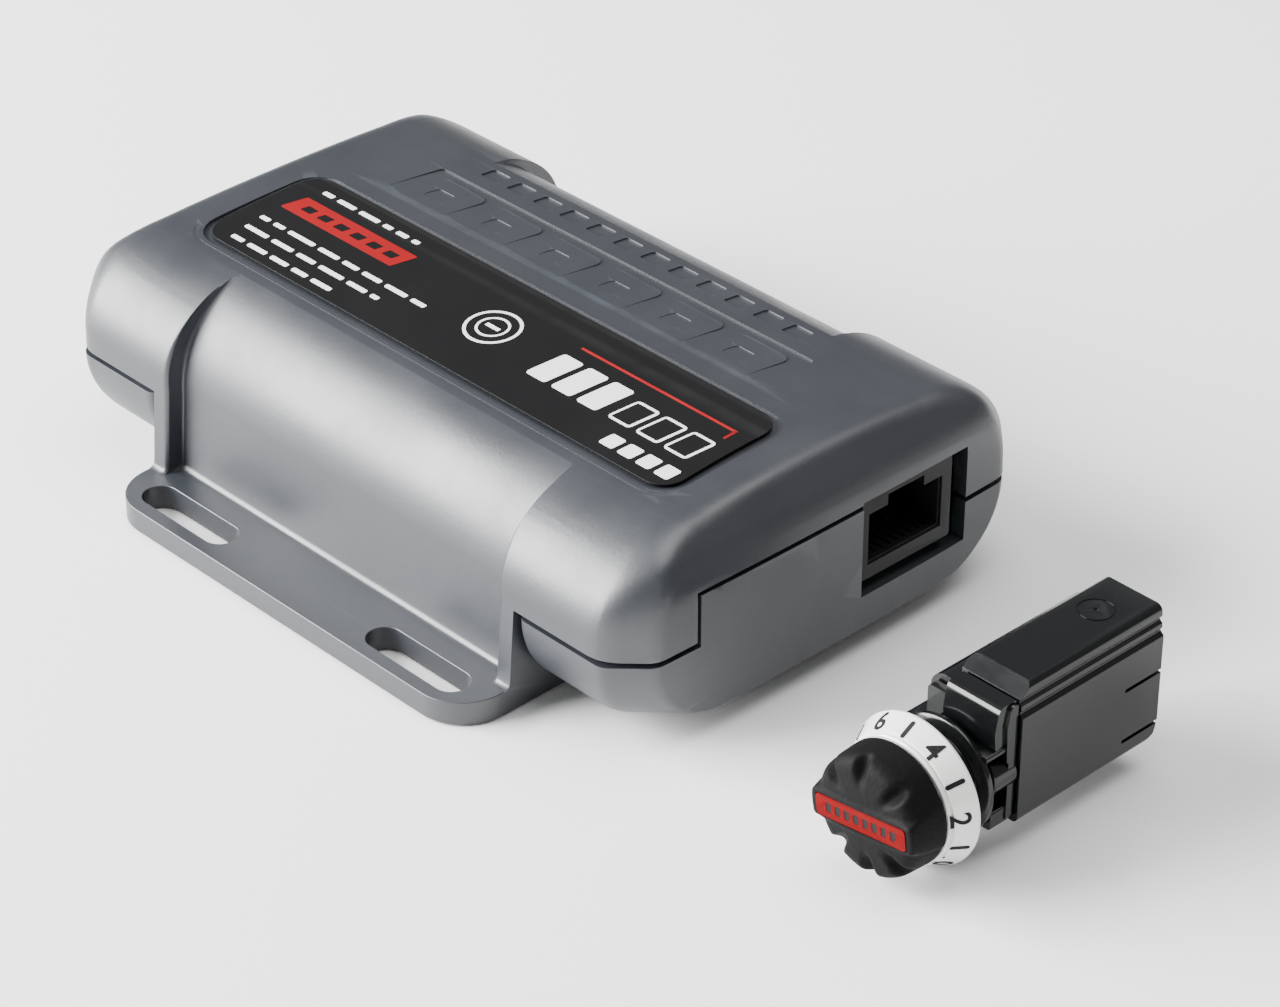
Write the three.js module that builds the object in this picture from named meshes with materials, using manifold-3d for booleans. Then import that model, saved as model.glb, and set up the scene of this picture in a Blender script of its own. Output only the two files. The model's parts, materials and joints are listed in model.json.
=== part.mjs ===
// Electric brake controller unit: a moulded main unit that is screwed under a dash,
// and the small remote head with its turn-and-push knob. Millimetres, +Z up.
// Origin: centre of the main unit's underside. +X: the socket end. -Y: the flange in front.
import * as THREE from 'three';
import { mergeVertices } from 'three/addons/utils/BufferGeometryUtils.js';
import Module from 'manifold-3d';

const wasm = await Module();
wasm.setup();

// ---- driving dimensions of the main unit ----
const HALF_LENGTH = 55.3;       // middle of the bowed end faces
const END_BOW = 0.5;            // how far an end face bulges
const HALF_WIDTH = 34.8;        // at the parting line
const TOP = 29.5;               // crown of the lid
const PARTING = 14.4;           // height of the joint between the covers
const PARTING_GAP = 0.5;
const ROLL = { side: 9.3, z: 13.4 };  // the lower cover's rolled sides: their width and where they start
const WALL = 2.2;
const FLOOR = 2.4;
const END_RAISE = 2.6;          // the ends' underside hangs clear of the mounting surface
const CORNER = 5.3;             // legs of the chamfered plan corners
const CREASE_X = 50.4;          // where the sloping end facet meets the lid
const FACET_FOOT = 23.4;        // height where the facet meets the upright end face
const COLUMN_X = 34.9;          // half length of the columns and of the flanges
const COLUMN_BACK = 25.5;       // the columns' side walls end here
const TROUGH_X = 32.1;          // half length of the recessed wall between the ribs
const FLANGE_Y = 44.0;
const FLANGE_THICK = 3.3;
const FLANGE_CORNER = 6.8;
const SLOT = { x0: 13.8, x1: 31.0, y: 39.6, width: 4.7 };
const LABEL = { x: 44.1, y0: -18.7, y1: 1.4, corner: 3.4, thick: 0.3, margin: 1.1, sink: 0.05 };
const WINDOW = { y0: 4.1, y1: 22.9, z0: 8.1, z1: 21.8 };
const TONGUE = { y0: -23.3, z1: 21.2 };
const SOCKET = { y0: 4.6, y1: 20.5, z0: 9.8, z1: 21.5, face: 54.6, depth: 16 };
const PORT = { y0: 6.1, y1: 18.5, z0: 12.1, z1: 19.2, latch0: 9.1, latch1: 15.5, latchTop: 20.7, depth: 13 };
const SCREW = { x: 46, y: 26, shank: 1.2, head: 2.6, headHeight: 1.9, sink: 0.8, tip: 14 };
const BOARD = { z0: 7.9, z1: 9.5, x0: -44, x1: 52.4, y: 22, holeX: 38, holeY: 17 };
const SINK = { x0: -30, x1: 26, rear: -16.6, front: -18.9, tip: -21.4, top: 20.5 };
const FINS = { count: 7, pitch: 1.4, thick: 0.6 };
const POWER = { x: -23, pitch: 14, half: 5, rear: -16.2, front: -11.8, legs: 2.5 };
const CAN = { x: -26, pitch: 13, y: 9, radius: 5, height: 15 };
const TERMINAL = { x0: -43, x1: -33.5, y: 12, top: 18, ways: 5, pitch: 4.5 };
const GROMMET = { y: 10.8, z0: 7.4, z1: 20.6, lip: 1.3, waistY: 9.3, waistZ0: 8.9, waistZ1: 19.1 };
const FAR = 80;                 // past every surface of the part
const GAP = 0.3;

// ---- driving dimensions of the remote head, from the middle of the dial ring ----
const HEAD_AT = new THREE.Vector3(88.2, -20.7, 9.7);
const RING = { rear: 9.7, front: 8.1, depth: 3.5, wall: 0.6 };
const KNOB = { radius: 8.0, face: 9.6, shoulder: 8.3, bar: 2.0, rest: 8 };
const SCALLOP = { radius: 2.1, stretch: 1.6, reach: 7.6, front: 9.6 };
const PLATE = { x: 7.0, z: 1.4, thick: 0.6 };
const HOUSING = { x: 7.1, front: 9.3, rear: 33.8, base: -6.2, side: 9.2, left: 8.6, top: 12.6, wall: 1.2 };
const RIDGE = { x0: -2.4, x1: 6.7, round: 1.0, bevel: 2.4, drop: 1.2 };
const STEP = { front: 5.9, x0: -1.8, x1: 6.2, top: 11.0 };
const NECK = { radius: 6.9, front: 0.7, bore: 3.9 };
const STEM = { sleeve: 2.6, shaft: 1.6, collar: 3.6, collarRear: 5, end: 16.9 };
const HEAD_PORT = { half: 4.85, back: 22.6, z0: -1.4, z1: 5.1 };
const TRAVEL = 1.5;

// ---- solids and their places ----
function solid(geometry) {
  const bare = geometry.index ? geometry.toNonIndexed() : geometry.clone();
  bare.deleteAttribute('normal');
  bare.deleteAttribute('uv');
  const merged = mergeVertices(bare, 1e-4);
  return new wasm.Manifold(new wasm.Mesh({
    numProp: 3,
    vertProperties: new Float32Array(merged.attributes.position.array),
    triVerts: new Uint32Array(merged.index.array),
  }));
}

function geometryOf(body) {
  const mesh = body.getMesh();
  const geometry = new THREE.BufferGeometry();
  geometry.setAttribute('position', new THREE.BufferAttribute(mesh.vertProperties, 3));
  geometry.setIndex(new THREE.BufferAttribute(mesh.triVerts, 1));
  geometry.computeVertexNormals();
  return geometry;
}

function union(...bodies) {
  return bodies.reduce((whole, body) => whole.add(body));
}

function extrude(shape, depth, xAxis, yAxis, zAxis, at, segments = 6) {
  const geometry = new THREE.ExtrudeGeometry(shape, { depth, bevelEnabled: false, curveSegments: segments });
  geometry.applyMatrix4(new THREE.Matrix4().makeBasis(xAxis, yAxis, zAxis));
  geometry.translate(at.x, at.y, at.z);
  return solid(geometry);
}

const X = new THREE.Vector3(1, 0, 0);
const Y = new THREE.Vector3(0, 1, 0);
const Z = new THREE.Vector3(0, 0, 1);
const backY = Y.clone().negate();
const alongX = (shape, x0, x1, n) => extrude(shape, x1 - x0, Y, Z, X, new THREE.Vector3(x0, 0, 0), n);
const alongY = (shape, y0, y1, n) => extrude(shape, y1 - y0, X, Z, backY, new THREE.Vector3(0, y1, 0), n);
const alongZ = (shape, z0, z1, n) => extrude(shape, z1 - z0, X, Y, Z, new THREE.Vector3(0, 0, z0), n);
const below = (z) => box(-FAR, FAR, -FAR, FAR, -FAR, z);

function box(x0, x1, y0, y1, z0, z1) {
  const geometry = new THREE.BoxGeometry(x1 - x0, y1 - y0, z1 - z0);
  geometry.translate((x0 + x1) / 2, (y0 + y1) / 2, (z0 + z1) / 2);
  return solid(geometry);
}

function cylinder(axis, radius, from, to, a, b, segments = 24) {
  const geometry = new THREE.CylinderGeometry(radius, radius, to - from, segments);
  const middle = (from + to) / 2;
  if (axis === 'x') geometry.rotateZ(-Math.PI / 2).translate(middle, a, b);
  if (axis === 'y') geometry.translate(a, middle, b);
  if (axis === 'z') geometry.rotateX(Math.PI / 2).translate(a, b, middle);
  return solid(geometry);
}

// a turned solid about the Y axis, from [radius, y] points that rise from axis to axis
function turnedY(points, segments = 48) {
  return solid(new THREE.LatheGeometry(points.map(([r, y]) => new THREE.Vector2(r, y)), segments));
}

function polygon(points) {
  return new THREE.Shape(points.map(([a, b]) => new THREE.Vector2(a, b)));
}

// a closed outline with every corner softened by its own radius
function softOutline(points) {
  const shape = new THREE.Shape();
  points.forEach(([a, b, soft = 0], i) => {
    const before = points[(i + points.length - 1) % points.length];
    const after = points[(i + 1) % points.length];
    const corner = new THREE.Vector2(a, b);
    const back = new THREE.Vector2(before[0], before[1]).sub(corner).normalize();
    const ahead = new THREE.Vector2(after[0], after[1]).sub(corner).normalize();
    const enter = corner.clone().addScaledVector(back, soft);
    const leave = corner.clone().addScaledVector(ahead, soft);
    if (i === 0) shape.moveTo(enter.x, enter.y);
    else shape.lineTo(enter.x, enter.y);
    if (soft > 0) shape.quadraticCurveTo(corner.x, corner.y, leave.x, leave.y);
  });
  shape.closePath();
  return shape;
}

function rectangle(x0, x1, y0, y1, soft) {
  return softOutline([[x0, y0, soft], [x1, y0, soft], [x1, y1, soft], [x0, y1, soft]]);
}

// ---- outer form of the main unit, each drawn with an inset for the cavity ----
const crown = (y, inset = 0) => TOP - 1.0 * (y / 19) ** 2 - inset;

function arc(centreY, centreZ, a, b, from, to, steps) {
  return Array.from({ length: steps + 1 }, (_, i) => {
    const angle = THREE.MathUtils.degToRad(from + (to - from) * i / steps);
    return [centreY + a * Math.cos(angle), centreZ + b * Math.sin(angle)];
  });
}

function mirrored(half) {
  return [...half, ...half.slice().reverse().map(([y, z]) => [-y, z])];
}

function lidProfile(inset, foot) {
  const side = arc(19, 16.5, 15.7 - inset, 12 - inset, 0, 90, 12);
  const top = [13, 7, 0].map((y) => [y, crown(y, inset)]);
  const half = [[HALF_WIDTH + 0.1 - inset, foot], ...side, ...top];
  return polygon([...half, ...half.slice(0, -1).reverse().map(([y, z]) => [-y, z])]);
}

function baseProfile(inset) {
  const half = [
    ...arc(HALF_WIDTH - ROLL.side, ROLL.z, ROLL.side - inset, ROLL.z - END_RAISE - inset, -90, 0, 10),
    [HALF_WIDTH - inset, PARTING + 8],
  ];
  return polygon(mirrored(half));
}

function endProfile(inset) {
  const half = [
    [HALF_LENGTH - 1 - inset, END_RAISE + inset],
    [HALF_LENGTH - inset, END_RAISE + 1 + inset],
    [HALF_LENGTH - inset, FACET_FOOT - inset * 0.4],
    [CREASE_X - inset, TOP - 0.4 - inset],
    [CREASE_X - 12, TOP + 0.1 - inset],
  ];
  return polygon([...half, ...half.slice().reverse().map(([x, z]) => [-x, z])]);
}

function planOutline(inset) {
  const x = HALF_LENGTH - inset;
  const y = HALF_WIDTH + 0.1 - inset;
  const cut = CORNER - inset * 0.3;
  const end = x - END_BOW;
  const quarter = [[x - cut, y, 2.2], [end, y - cut, 2.2], [x, y * 0.25, 3]];
  return softOutline([
    ...quarter.map(([a, b, s]) => [a, -b, s]),
    ...quarter.slice().reverse(),
    ...quarter.map(([a, b, s]) => [-a, b, s]),
    ...quarter.slice().reverse().map(([a, b, s]) => [-a, -b, s]),
  ]);
}

// the rolled side goes on around the chamfered corners
function rolledCorner(sx, sy, inset) {
  const reach = (HALF_LENGTH + HALF_WIDTH - CORNER) / Math.SQRT2;
  const outline = polygon([
    [-reach, END_RAISE + inset],
    ...arc(reach - ROLL.side, ROLL.z, ROLL.side - inset, ROLL.z - END_RAISE - inset, -90, 0, 10),
    [reach - inset, TOP + 1], [-reach, TOP + 1],
  ]);
  const out = new THREE.Vector3(sx, sy, 0).normalize();
  const along = new THREE.Vector3().crossVectors(out, Z);
  return extrude(outline, 4 * reach, out, Z, along, along.clone().multiplyScalar(-2 * reach));
}

// the recessed wall between two ribs runs from the flange up and fades out in the lid
function troughWall(inset) {
  return [
    [33.3 - inset, FLANGE_THICK],
    ...arc(17.5, PARTING, 14.9 - inset, 14.5 - inset, 0, 90, 12),
  ];
}

function outerForm(profile, inset) {
  return alongX(profile, -HALF_LENGTH - 1, HALF_LENGTH + 1)
    .intersect(alongY(endProfile(inset), -HALF_WIDTH - 5, HALF_WIDTH + 5))
    .intersect(alongZ(planOutline(inset), -1, TOP + 1));
}

function bothSides(make) {
  return union(make(-1), make(1));
}

const corners = [[-1, -1], [1, -1], [1, 1], [-1, 1]];
const windowCut = box(HALF_LENGTH - 8, HALF_LENGTH + 1, WINDOW.y0, WINDOW.y1, WINDOW.z0, WINDOW.z1);
const grommetHole = box(-HALF_LENGTH - 1, -HALF_LENGTH + 8, -GROMMET.waistY - GAP, GROMMET.waistY + GAP,
  GROMMET.waistZ0 - GAP, GROMMET.waistZ1 + GAP);

// ---- upper cover: lid, two columns with their ribs, and the slotted flanges ----
function column(side) {
  const foot = [
    [COLUMN_BACK, 0], [36, 0], [35.9, FLANGE_THICK], [35.3, PARTING], [HALF_WIDTH, 17], [COLUMN_BACK, 24],
  ];
  return alongX(polygon(foot.map(([y, z]) => [side * y, z])), -COLUMN_X, COLUMN_X);
}

function flange(side) {
  const shape = softOutline([
    [-COLUMN_X, side * 30], [-COLUMN_X, side * FLANGE_Y, FLANGE_CORNER],
    [COLUMN_X, side * FLANGE_Y, FLANGE_CORNER], [COLUMN_X, side * 30],
  ]);
  for (const end of [-1, 1]) {
    const radius = SLOT.width / 2;
    const middle = side * SLOT.y;
    const near = end * (end > 0 ? SLOT.x0 : SLOT.x1) + radius;
    const far = end * (end > 0 ? SLOT.x1 : SLOT.x0) - radius;
    const hole = new THREE.Path();
    hole.moveTo(near, middle - radius);
    hole.lineTo(far, middle - radius);
    hole.absarc(far, middle, radius, -Math.PI / 2, Math.PI / 2, false);
    hole.lineTo(near, middle + radius);
    hole.absarc(near, middle, radius, Math.PI / 2, 1.5 * Math.PI, false);
    shape.holes.push(hole);
  }
  return alongZ(shape, 0, FLANGE_THICK, 8);
}

function trough(side) {
  const cut = [...troughWall(0), [17.5, TOP + 6], [50, TOP + 6], [50, FLANGE_THICK]];
  return alongX(polygon(cut.map(([y, z]) => [side * y, z])), -TROUGH_X, TROUGH_X);
}

function upperCover() {
  const lid = outerForm(lidProfile(0, PARTING), 0).subtract(below(PARTING));
  const inner = [...troughWall(WALL), [0, crown(0, WALL)]];
  const room = polygon([[inner[0][0], -1], ...inner, ...inner.slice(0, -1).reverse().map(([y, z]) => [-y, z]),
    [-inner[0][0], -1]]);
  const middleRoom = alongX(room, -COLUMN_X + WALL, COLUMN_X - WALL);
  const upperRoom = outerForm(room, WALL).subtract(below(PARTING - 1));
  const endRooms = outerForm(lidProfile(WALL, PARTING - 1), WALL).subtract(
    box(-COLUMN_X - 0.5, COLUMN_X + 0.5, -FAR, FAR, -FAR, FAR),
  );
  const labelBand = alongZ(
    rectangle(-LABEL.x - LABEL.margin, LABEL.x + LABEL.margin, LABEL.y0 - LABEL.margin,
      LABEL.y1 + LABEL.margin, LABEL.corner + 0.8),
    20, TOP + 2,
  ).intersect(crownBand(-LABEL.sink - LABEL.thick - GAP, 3));
  const tongueCut = box(HALF_LENGTH - WALL - 1.5, HALF_LENGTH + 1, TONGUE.y0 - GAP, WINDOW.y0 + 1,
    PARTING - 1, TONGUE.z1 + GAP);
  const bosses = corners.map(([sx, sy]) => cylinder('z', 3.1, BOARD.z0, 27, sx * SCREW.x, sy * SCREW.y));
  const holes = corners.map(([sx, sy]) =>
    cylinder('z', SCREW.shank + GAP, 5, SCREW.tip + 2, sx * SCREW.x, sy * SCREW.y, 16));
  const lidWithPosts = union(lid, column(-1), column(1), flange(-1), flange(1))
    .subtract(bothSides(trough))
    .subtract(union(middleRoom, upperRoom, endRooms));
  const envelope = outerForm(lidProfile(1, 0), 1);
  return union(lidWithPosts, union(...bosses).intersect(envelope))
    .subtract(union(labelBand, tongueCut, windowCut, grommetHole, ...holes));
}

// a band that follows the crowned lid, from low to high above it
function crownBand(low, high) {
  const ys = [-24, -18, -12, -6, 0, 6, 12];
  const under = ys.map((y) => [y, crown(y) + low]);
  const over = ys.map((y) => [y, crown(y) + high]).reverse();
  const band = [...under, ...over];
  return alongX(polygon(band), -60, 60);
}

// ---- lower cover: a tray between the columns whose ends close the body ----
function lowerCover() {
  const rolled = (inset) => corners.reduce((body, [sx, sy]) => body.intersect(rolledCorner(sx, sy, inset)),
    outerForm(baseProfile(inset), inset));
  const form = rolled(0);
  const endFloor = END_RAISE + FLOOR;
  const room = rolled(WALL).subtract(below(endFloor));
  const shelf = COLUMN_X + 0.5;
  const endsOnly = form.subtract(box(-shelf, shelf, -FAR, FAR, -FAR, FAR));
  const rooms = union(
    room.subtract(box(-shelf - 1.6, shelf + 1.6, -FAR, FAR, -FAR, FAR)),
    room.intersect(box(-shelf - 2, shelf + 2, -BOARD.y - 1, BOARD.y + 1, -FAR, FAR)),
  );
  const risers = bothSides((s) => box(s * shelf - 1.2, s * shelf + 1.2, -COLUMN_BACK + GAP, COLUMN_BACK - GAP,
    0, endFloor));
  const tray = union(
    risers,
    box(-shelf - 0.5, shelf + 0.5, -COLUMN_BACK + GAP, COLUMN_BACK - GAP, 0, FLOOR),
    box(-COLUMN_X + WALL + GAP, COLUMN_X - WALL - GAP, -30.8, 30.8, 0, FLOOR),
  );
  const rim = PARTING - PARTING_GAP;
  const endWall = HALF_LENGTH - WALL;
  const above = union(
    box(-FAR, endWall - 0.2, -FAR, FAR, rim, FAR),
    box(endWall - 1, FAR, -FAR, TONGUE.y0, rim, FAR),
    box(endWall - 1, FAR, WINDOW.y0, FAR, rim, FAR),
    box(endWall - 1, FAR, -FAR, FAR, TONGUE.z1, FAR),
  );
  const padTop = BOARD.z0 - GAP;
  const screwFoot = END_RAISE + SCREW.sink;
  const pads = union(
    ...corners.map(([sx, sy]) => cylinder('z', 4.2, END_RAISE, padTop, sx * SCREW.x, sy * SCREW.y)),
  ).intersect(form);
  const posts = corners.map(([sx, sy]) =>
    cylinder('z', 2.6, END_RAISE + 1, padTop, sx * BOARD.holeX, sy * BOARD.holeY, 16));
  const bores = corners.map(([sx, sy]) => union(
    cylinder('z', 1.6, -1, padTop + 1, sx * SCREW.x, sy * SCREW.y, 16),
    cylinder('z', SCREW.head + GAP, -1, screwFoot + SCREW.headHeight + GAP, sx * SCREW.x, sy * SCREW.y),
  ));
  const postHoles = [-1, 1].map((s) => cylinder('z', 1.1, 4, 9, s * BOARD.holeX, -s * BOARD.holeY, 12));
  return union(endsOnly.subtract(rooms), tray, pads, ...posts)
    .subtract(union(above, windowCut, grommetHole, ...bores, ...postHoles));
}

// ---- small parts of the main unit ----
function labelPlate() {
  return alongZ(rectangle(-LABEL.x, LABEL.x, LABEL.y0, LABEL.y1, LABEL.corner), 20, TOP + 2)
    .intersect(crownBand(-LABEL.sink - LABEL.thick, -LABEL.sink));
}

function coverScrew(sx, sy) {
  const x = sx * SCREW.x;
  const y = sy * SCREW.y;
  const foot = END_RAISE + SCREW.sink;
  const head = cylinder('z', SCREW.head, foot, foot + SCREW.headHeight, x, y);
  const shank = cylinder('z', SCREW.shank, foot + 1.2, SCREW.tip, x, y, 16);
  const bar = (a, b) => box(x - a, x + a, y - b, y + b, foot - 1, foot + 0.9);
  return union(head, shank).subtract(union(bar(1.6, 0.35), bar(0.35, 1.6)));
}

function boardScrew(side) {
  const x = side * BOARD.holeX;
  const y = -side * BOARD.holeY;
  const head = cylinder('z', 2.2, BOARD.z1 + GAP, BOARD.z1 + 1.7, x, y, 16);
  const shank = cylinder('z', 0.8, 4.4, BOARD.z1 + 1, x, y, 12);
  return union(head, shank);
}

function circuitBoard() {
  const plate = alongZ(rectangle(BOARD.x0, BOARD.x1, -BOARD.y, BOARD.y, 1.5), BOARD.z0, BOARD.z1);
  const holes = corners.map(([sx, sy]) => cylinder('z', 1.3, 0, 20, sx * BOARD.holeX, sy * BOARD.holeY, 12));
  return plate.subtract(union(...holes));
}

function socketHousing() {
  const { face, depth, y0, y1, z0, z1 } = SOCKET;
  const port = box(face - PORT.depth, face + 1, PORT.y0, PORT.y1, PORT.z0, PORT.z1);
  const latch = box(face - PORT.depth, face + 1, PORT.latch0, PORT.latch1, PORT.z1 - 1, PORT.latchTop);
  return box(face - depth, face, y0, y1, z0, z1).subtract(union(port, latch));
}

// eight sprung wires on one carrier strip, made for a port whose mouth faces +X
function contactComb(count, pitch, rear, reach, middle, floor) {
  const half = count * pitch / 2;
  const strip = box(rear, rear + 0.5, middle - half, middle + half, floor, floor + 1.5);
  const wires = Array.from({ length: count }, (_, i) => {
    const y = middle + (i - (count - 1) / 2) * pitch;
    const outline = polygon([
      [rear, floor + 1.05], [rear + reach, floor], [rear + reach, floor + 0.35], [rear, floor + 1.4],
    ]);
    return alongY(outline, y - 0.2, y + 0.2);
  });
  return union(strip, ...wires);
}

function heatSpreader() {
  const { x0, x1, rear, front, tip, top } = SINK;
  const fins = Array.from({ length: FINS.count }, (_, i) => {
    const foot = top - GAP - FINS.thick - i * FINS.pitch;
    return box(x0, x1, tip, front + GAP, foot, foot + FINS.thick);
  });
  return union(box(x0, x1, front, rear, BOARD.z1 + GAP, top), ...fins);
}

function transistor(index) {
  const { half, rear, front, legs: spread } = POWER;
  const x = POWER.x + index * POWER.pitch;
  const body = box(x - half, x + half, rear, front, 12.4, 21.6);
  const tab = box(x - half, x + half, rear, rear + 1.2, 21, 24.2);
  const legs = [-spread, 0, spread].map((d) =>
    box(x + d - 0.4, x + d + 0.4, rear + 1.6, rear + 2.2, BOARD.z1 + GAP, 13));
  return union(body, tab, ...legs);
}

function capacitor(index) {
  const { radius, height } = CAN;
  const profile = [
    [0, 0], [radius, 0], [radius, 1.6], [radius - 0.4, 2.1], [radius, 2.6],
    [radius, height - 0.4], [radius - 0.3, height], [0, height],
  ];
  const can = new THREE.LatheGeometry(profile.map(([r, z]) => new THREE.Vector2(r, z)), 24);
  can.rotateX(Math.PI / 2);
  can.translate(CAN.x + index * CAN.pitch, CAN.y, BOARD.z1 + GAP);
  return solid(can);
}

function powerTerminal() {
  const { x0, x1, y, top, ways, pitch } = TERMINAL;
  const body = box(x0, x1, -y, y, BOARD.z1 + GAP, top);
  const clamps = Array.from({ length: ways }, (_, i) => {
    const middle = (i - (ways - 1) / 2) * pitch;
    return box(x0 - 1, x1 - 2.5, middle - 1.6, middle + 1.6, 11.5, 15.5);
  });
  return body.subtract(union(...clamps));
}

// rubber block clamped between the covers, with an outer and an inner lip and five wire holes
function harnessGrommet() {
  const outside = -HALF_LENGTH;
  const { y, z0, z1, lip, waistY, waistZ0, waistZ1 } = GROMMET;
  const waist = box(outside - 1.1, outside + WALL + 1.8, -waistY, waistY, waistZ0, waistZ1);
  const outerLip = box(outside - lip, outside - GAP, -y, y, z0, z1);
  const innerLip = box(outside + WALL + 0.7, outside + WALL + 2.2, -y, y, BOARD.z1 + 0.6, z1 - 0.4);
  const wires = Array.from({ length: 5 }, (_, i) =>
    cylinder('x', 1.5, outside - 3, outside + 8, -7 + i * 3.5, 14 + (i % 2 ? 2.2 : -1.6), 12));
  return union(waist, outerLip, innerLip).subtract(union(...wires));
}

// ---- remote head ----
function headHousing() {
  const { x, front, rear, base, side, left, top, wall } = HOUSING;
  const outline = (inset) => softOutline([
    [-x + inset, base + inset, 0.8], [x - inset, base + inset, 0.8], [x - inset, side - inset, 0.3],
    [RIDGE.x1 - inset, side + 0.8 - inset, 0.3], [RIDGE.x1 - inset, top - inset, RIDGE.round],
    [RIDGE.x0 + inset, top - inset, RIDGE.round], [RIDGE.x0 + inset, left - inset, 0.4],
    [-x + inset, left - inset, inset ? 0.6 : 2.4],
  ]);
  const shell = alongY(outline(0), front, rear).subtract(alongY(outline(wall), front - 1, rear + 1));
  const slits = [-1, 1].flatMap((s) => [3.6, -3.7].map((z) =>
    box(s > 0 ? x - 2 : -x - 1, s > 0 ? x + 1 : -x + 2, rear - 6.4, rear + 1, z - 0.25, z + 0.25)));
  const heel = alongX(polygon([[rear + 1, base - 1], [rear + 1, base + 2.4], [rear - 2.4, base - 1]]), -9, 9);
  const foot = top - RIDGE.drop;
  const crest = front + RIDGE.bevel;
  const bevel = alongX(polygon([
    [front - 1, top + 1], [front - 1, foot], [front, foot], [crest, top], [crest, top + 1],
  ]), -9, 9);
  return shell.subtract(union(heel, bevel, ...slits));
}

function headCarrier() {
  const { front } = HOUSING;
  const back = front - GAP;
  const web = box(-6.2, 6.6, back - 1.2, back, -5.4, 7.6);
  const stepOutline = softOutline([
    [back, 6], [back, STEP.top, 0.2], [STEP.front + 0.4, STEP.top, 1.2],
    [STEP.front - 0.4, 6.6, 0.6], [STEP.front + 0.6, 5],
  ]);
  const step = alongX(stepOutline, STEP.x0, STEP.x1);
  const neck = cylinder('y', NECK.radius, NECK.front + 1.4, back, 0, 0, 40);
  const lips = [1, 3.1].map((y) => cylinder('y', NECK.radius - 0.5, NECK.front, y + 1.2, 0, 0, 40));
  const collar = cylinder('y', NECK.radius + 0.7, 3.6, 4.6, 0, 0, 40);
  const sides = [-1, 1].flatMap((s) => [
    cylinder('y', 2.5, 5.4, back, s * 4.4, 0.9, 20),
    box(s > 0 ? 4.6 : -6.4, s > 0 ? 6.4 : -4.6, 5.4, back, -5.6, -3.3),
    box(s > 0 ? 3 : -6.4, s > 0 ? 6.4 : -3, 4.2, back, 4.4, 5.2),
  ]);
  const bore = cylinder('y', NECK.bore, -1, 20, 0, 0, 32);
  return union(web, step, neck, ...lips, collar, ...sides).subtract(bore);
}

function rotaryControl() {
  return box(-5.2, 5.2, 11, 16, -3.2, 6.6).subtract(cylinder('y', STEM.sleeve + 0.35, 10, 18, 0, 0, 24));
}

function headSocket() {
  const rear = HOUSING.rear - 0.4;
  const { back, z0, z1, half } = HEAD_PORT;
  const mouth = box(-half, half, back, rear + 1, z0, z1);
  const port = mouth.add(box(-3.1, 3.1, back, rear + 1, z1 - 1, z1 + 1.4));
  return box(-5.6, 5.6, 20.4, rear, -3.3, 7.1).subtract(port);
}

function headContacts() {
  const comb = contactComb(6, 1.05, HEAD_PORT.back + GAP, 7.5, 0, HEAD_PORT.z0 + GAP);
  return solid(geometryOf(comb).rotateZ(Math.PI / 2));
}

// drawn at its fully pressed length, so that the collar never reaches into it
function returnSpring() {
  const turns = 3.25;
  const from = STEM.collarRear + TRAVEL + GAP + 0.35;
  const to = 11 - GAP - 0.35;
  const radius = 3.25;
  const count = turns * 16;
  const points = Array.from({ length: count + 1 }, (_, i) => {
    const angle = i / 16 * 2 * Math.PI;
    return new THREE.Vector3(
      radius * Math.cos(angle), from + (to - from) * i / count, radius * Math.sin(angle));
  });
  const wire = new THREE.Shape().absarc(0, 0, 0.28, 0, 2 * Math.PI);
  const path = new THREE.CatmullRomCurve3(points);
  return solid(new THREE.ExtrudeGeometry(wire, { steps: 56, extrudePath: path, curveSegments: 4 }));
}

function pushSleeve() {
  const sleeve = cylinder('y', STEM.sleeve, 0.4, STEM.end, 0, 0, 24);
  const collar = cylinder('y', STEM.collar, STEM.collarRear - 1, STEM.collarRear, 0, 0, 32);
  return union(sleeve, collar).subtract(cylinder('y', STEM.shaft + GAP, -1, STEM.end + 1, 0, 0, 20));
}

function knobShaft() {
  return cylinder('y', STEM.shaft, -6.2, STEM.end, 0, 0, 20);
}

function dialRing() {
  const { rear, front, depth, wall } = RING;
  const outer = [[0, -depth], [front, -depth], [rear, -0.35], [rear, 0], [0, 0]];
  const inner = [[0, -depth + wall], [front - wall, -depth + wall], [rear - wall, 0.2], [0, 0.2]];
  const bore = cylinder('y', 6.4, -depth - 1, 1, 0, 0, 48);
  return turnedY(outer, 72).subtract(union(turnedY(inner, 72), bore));
}

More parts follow.
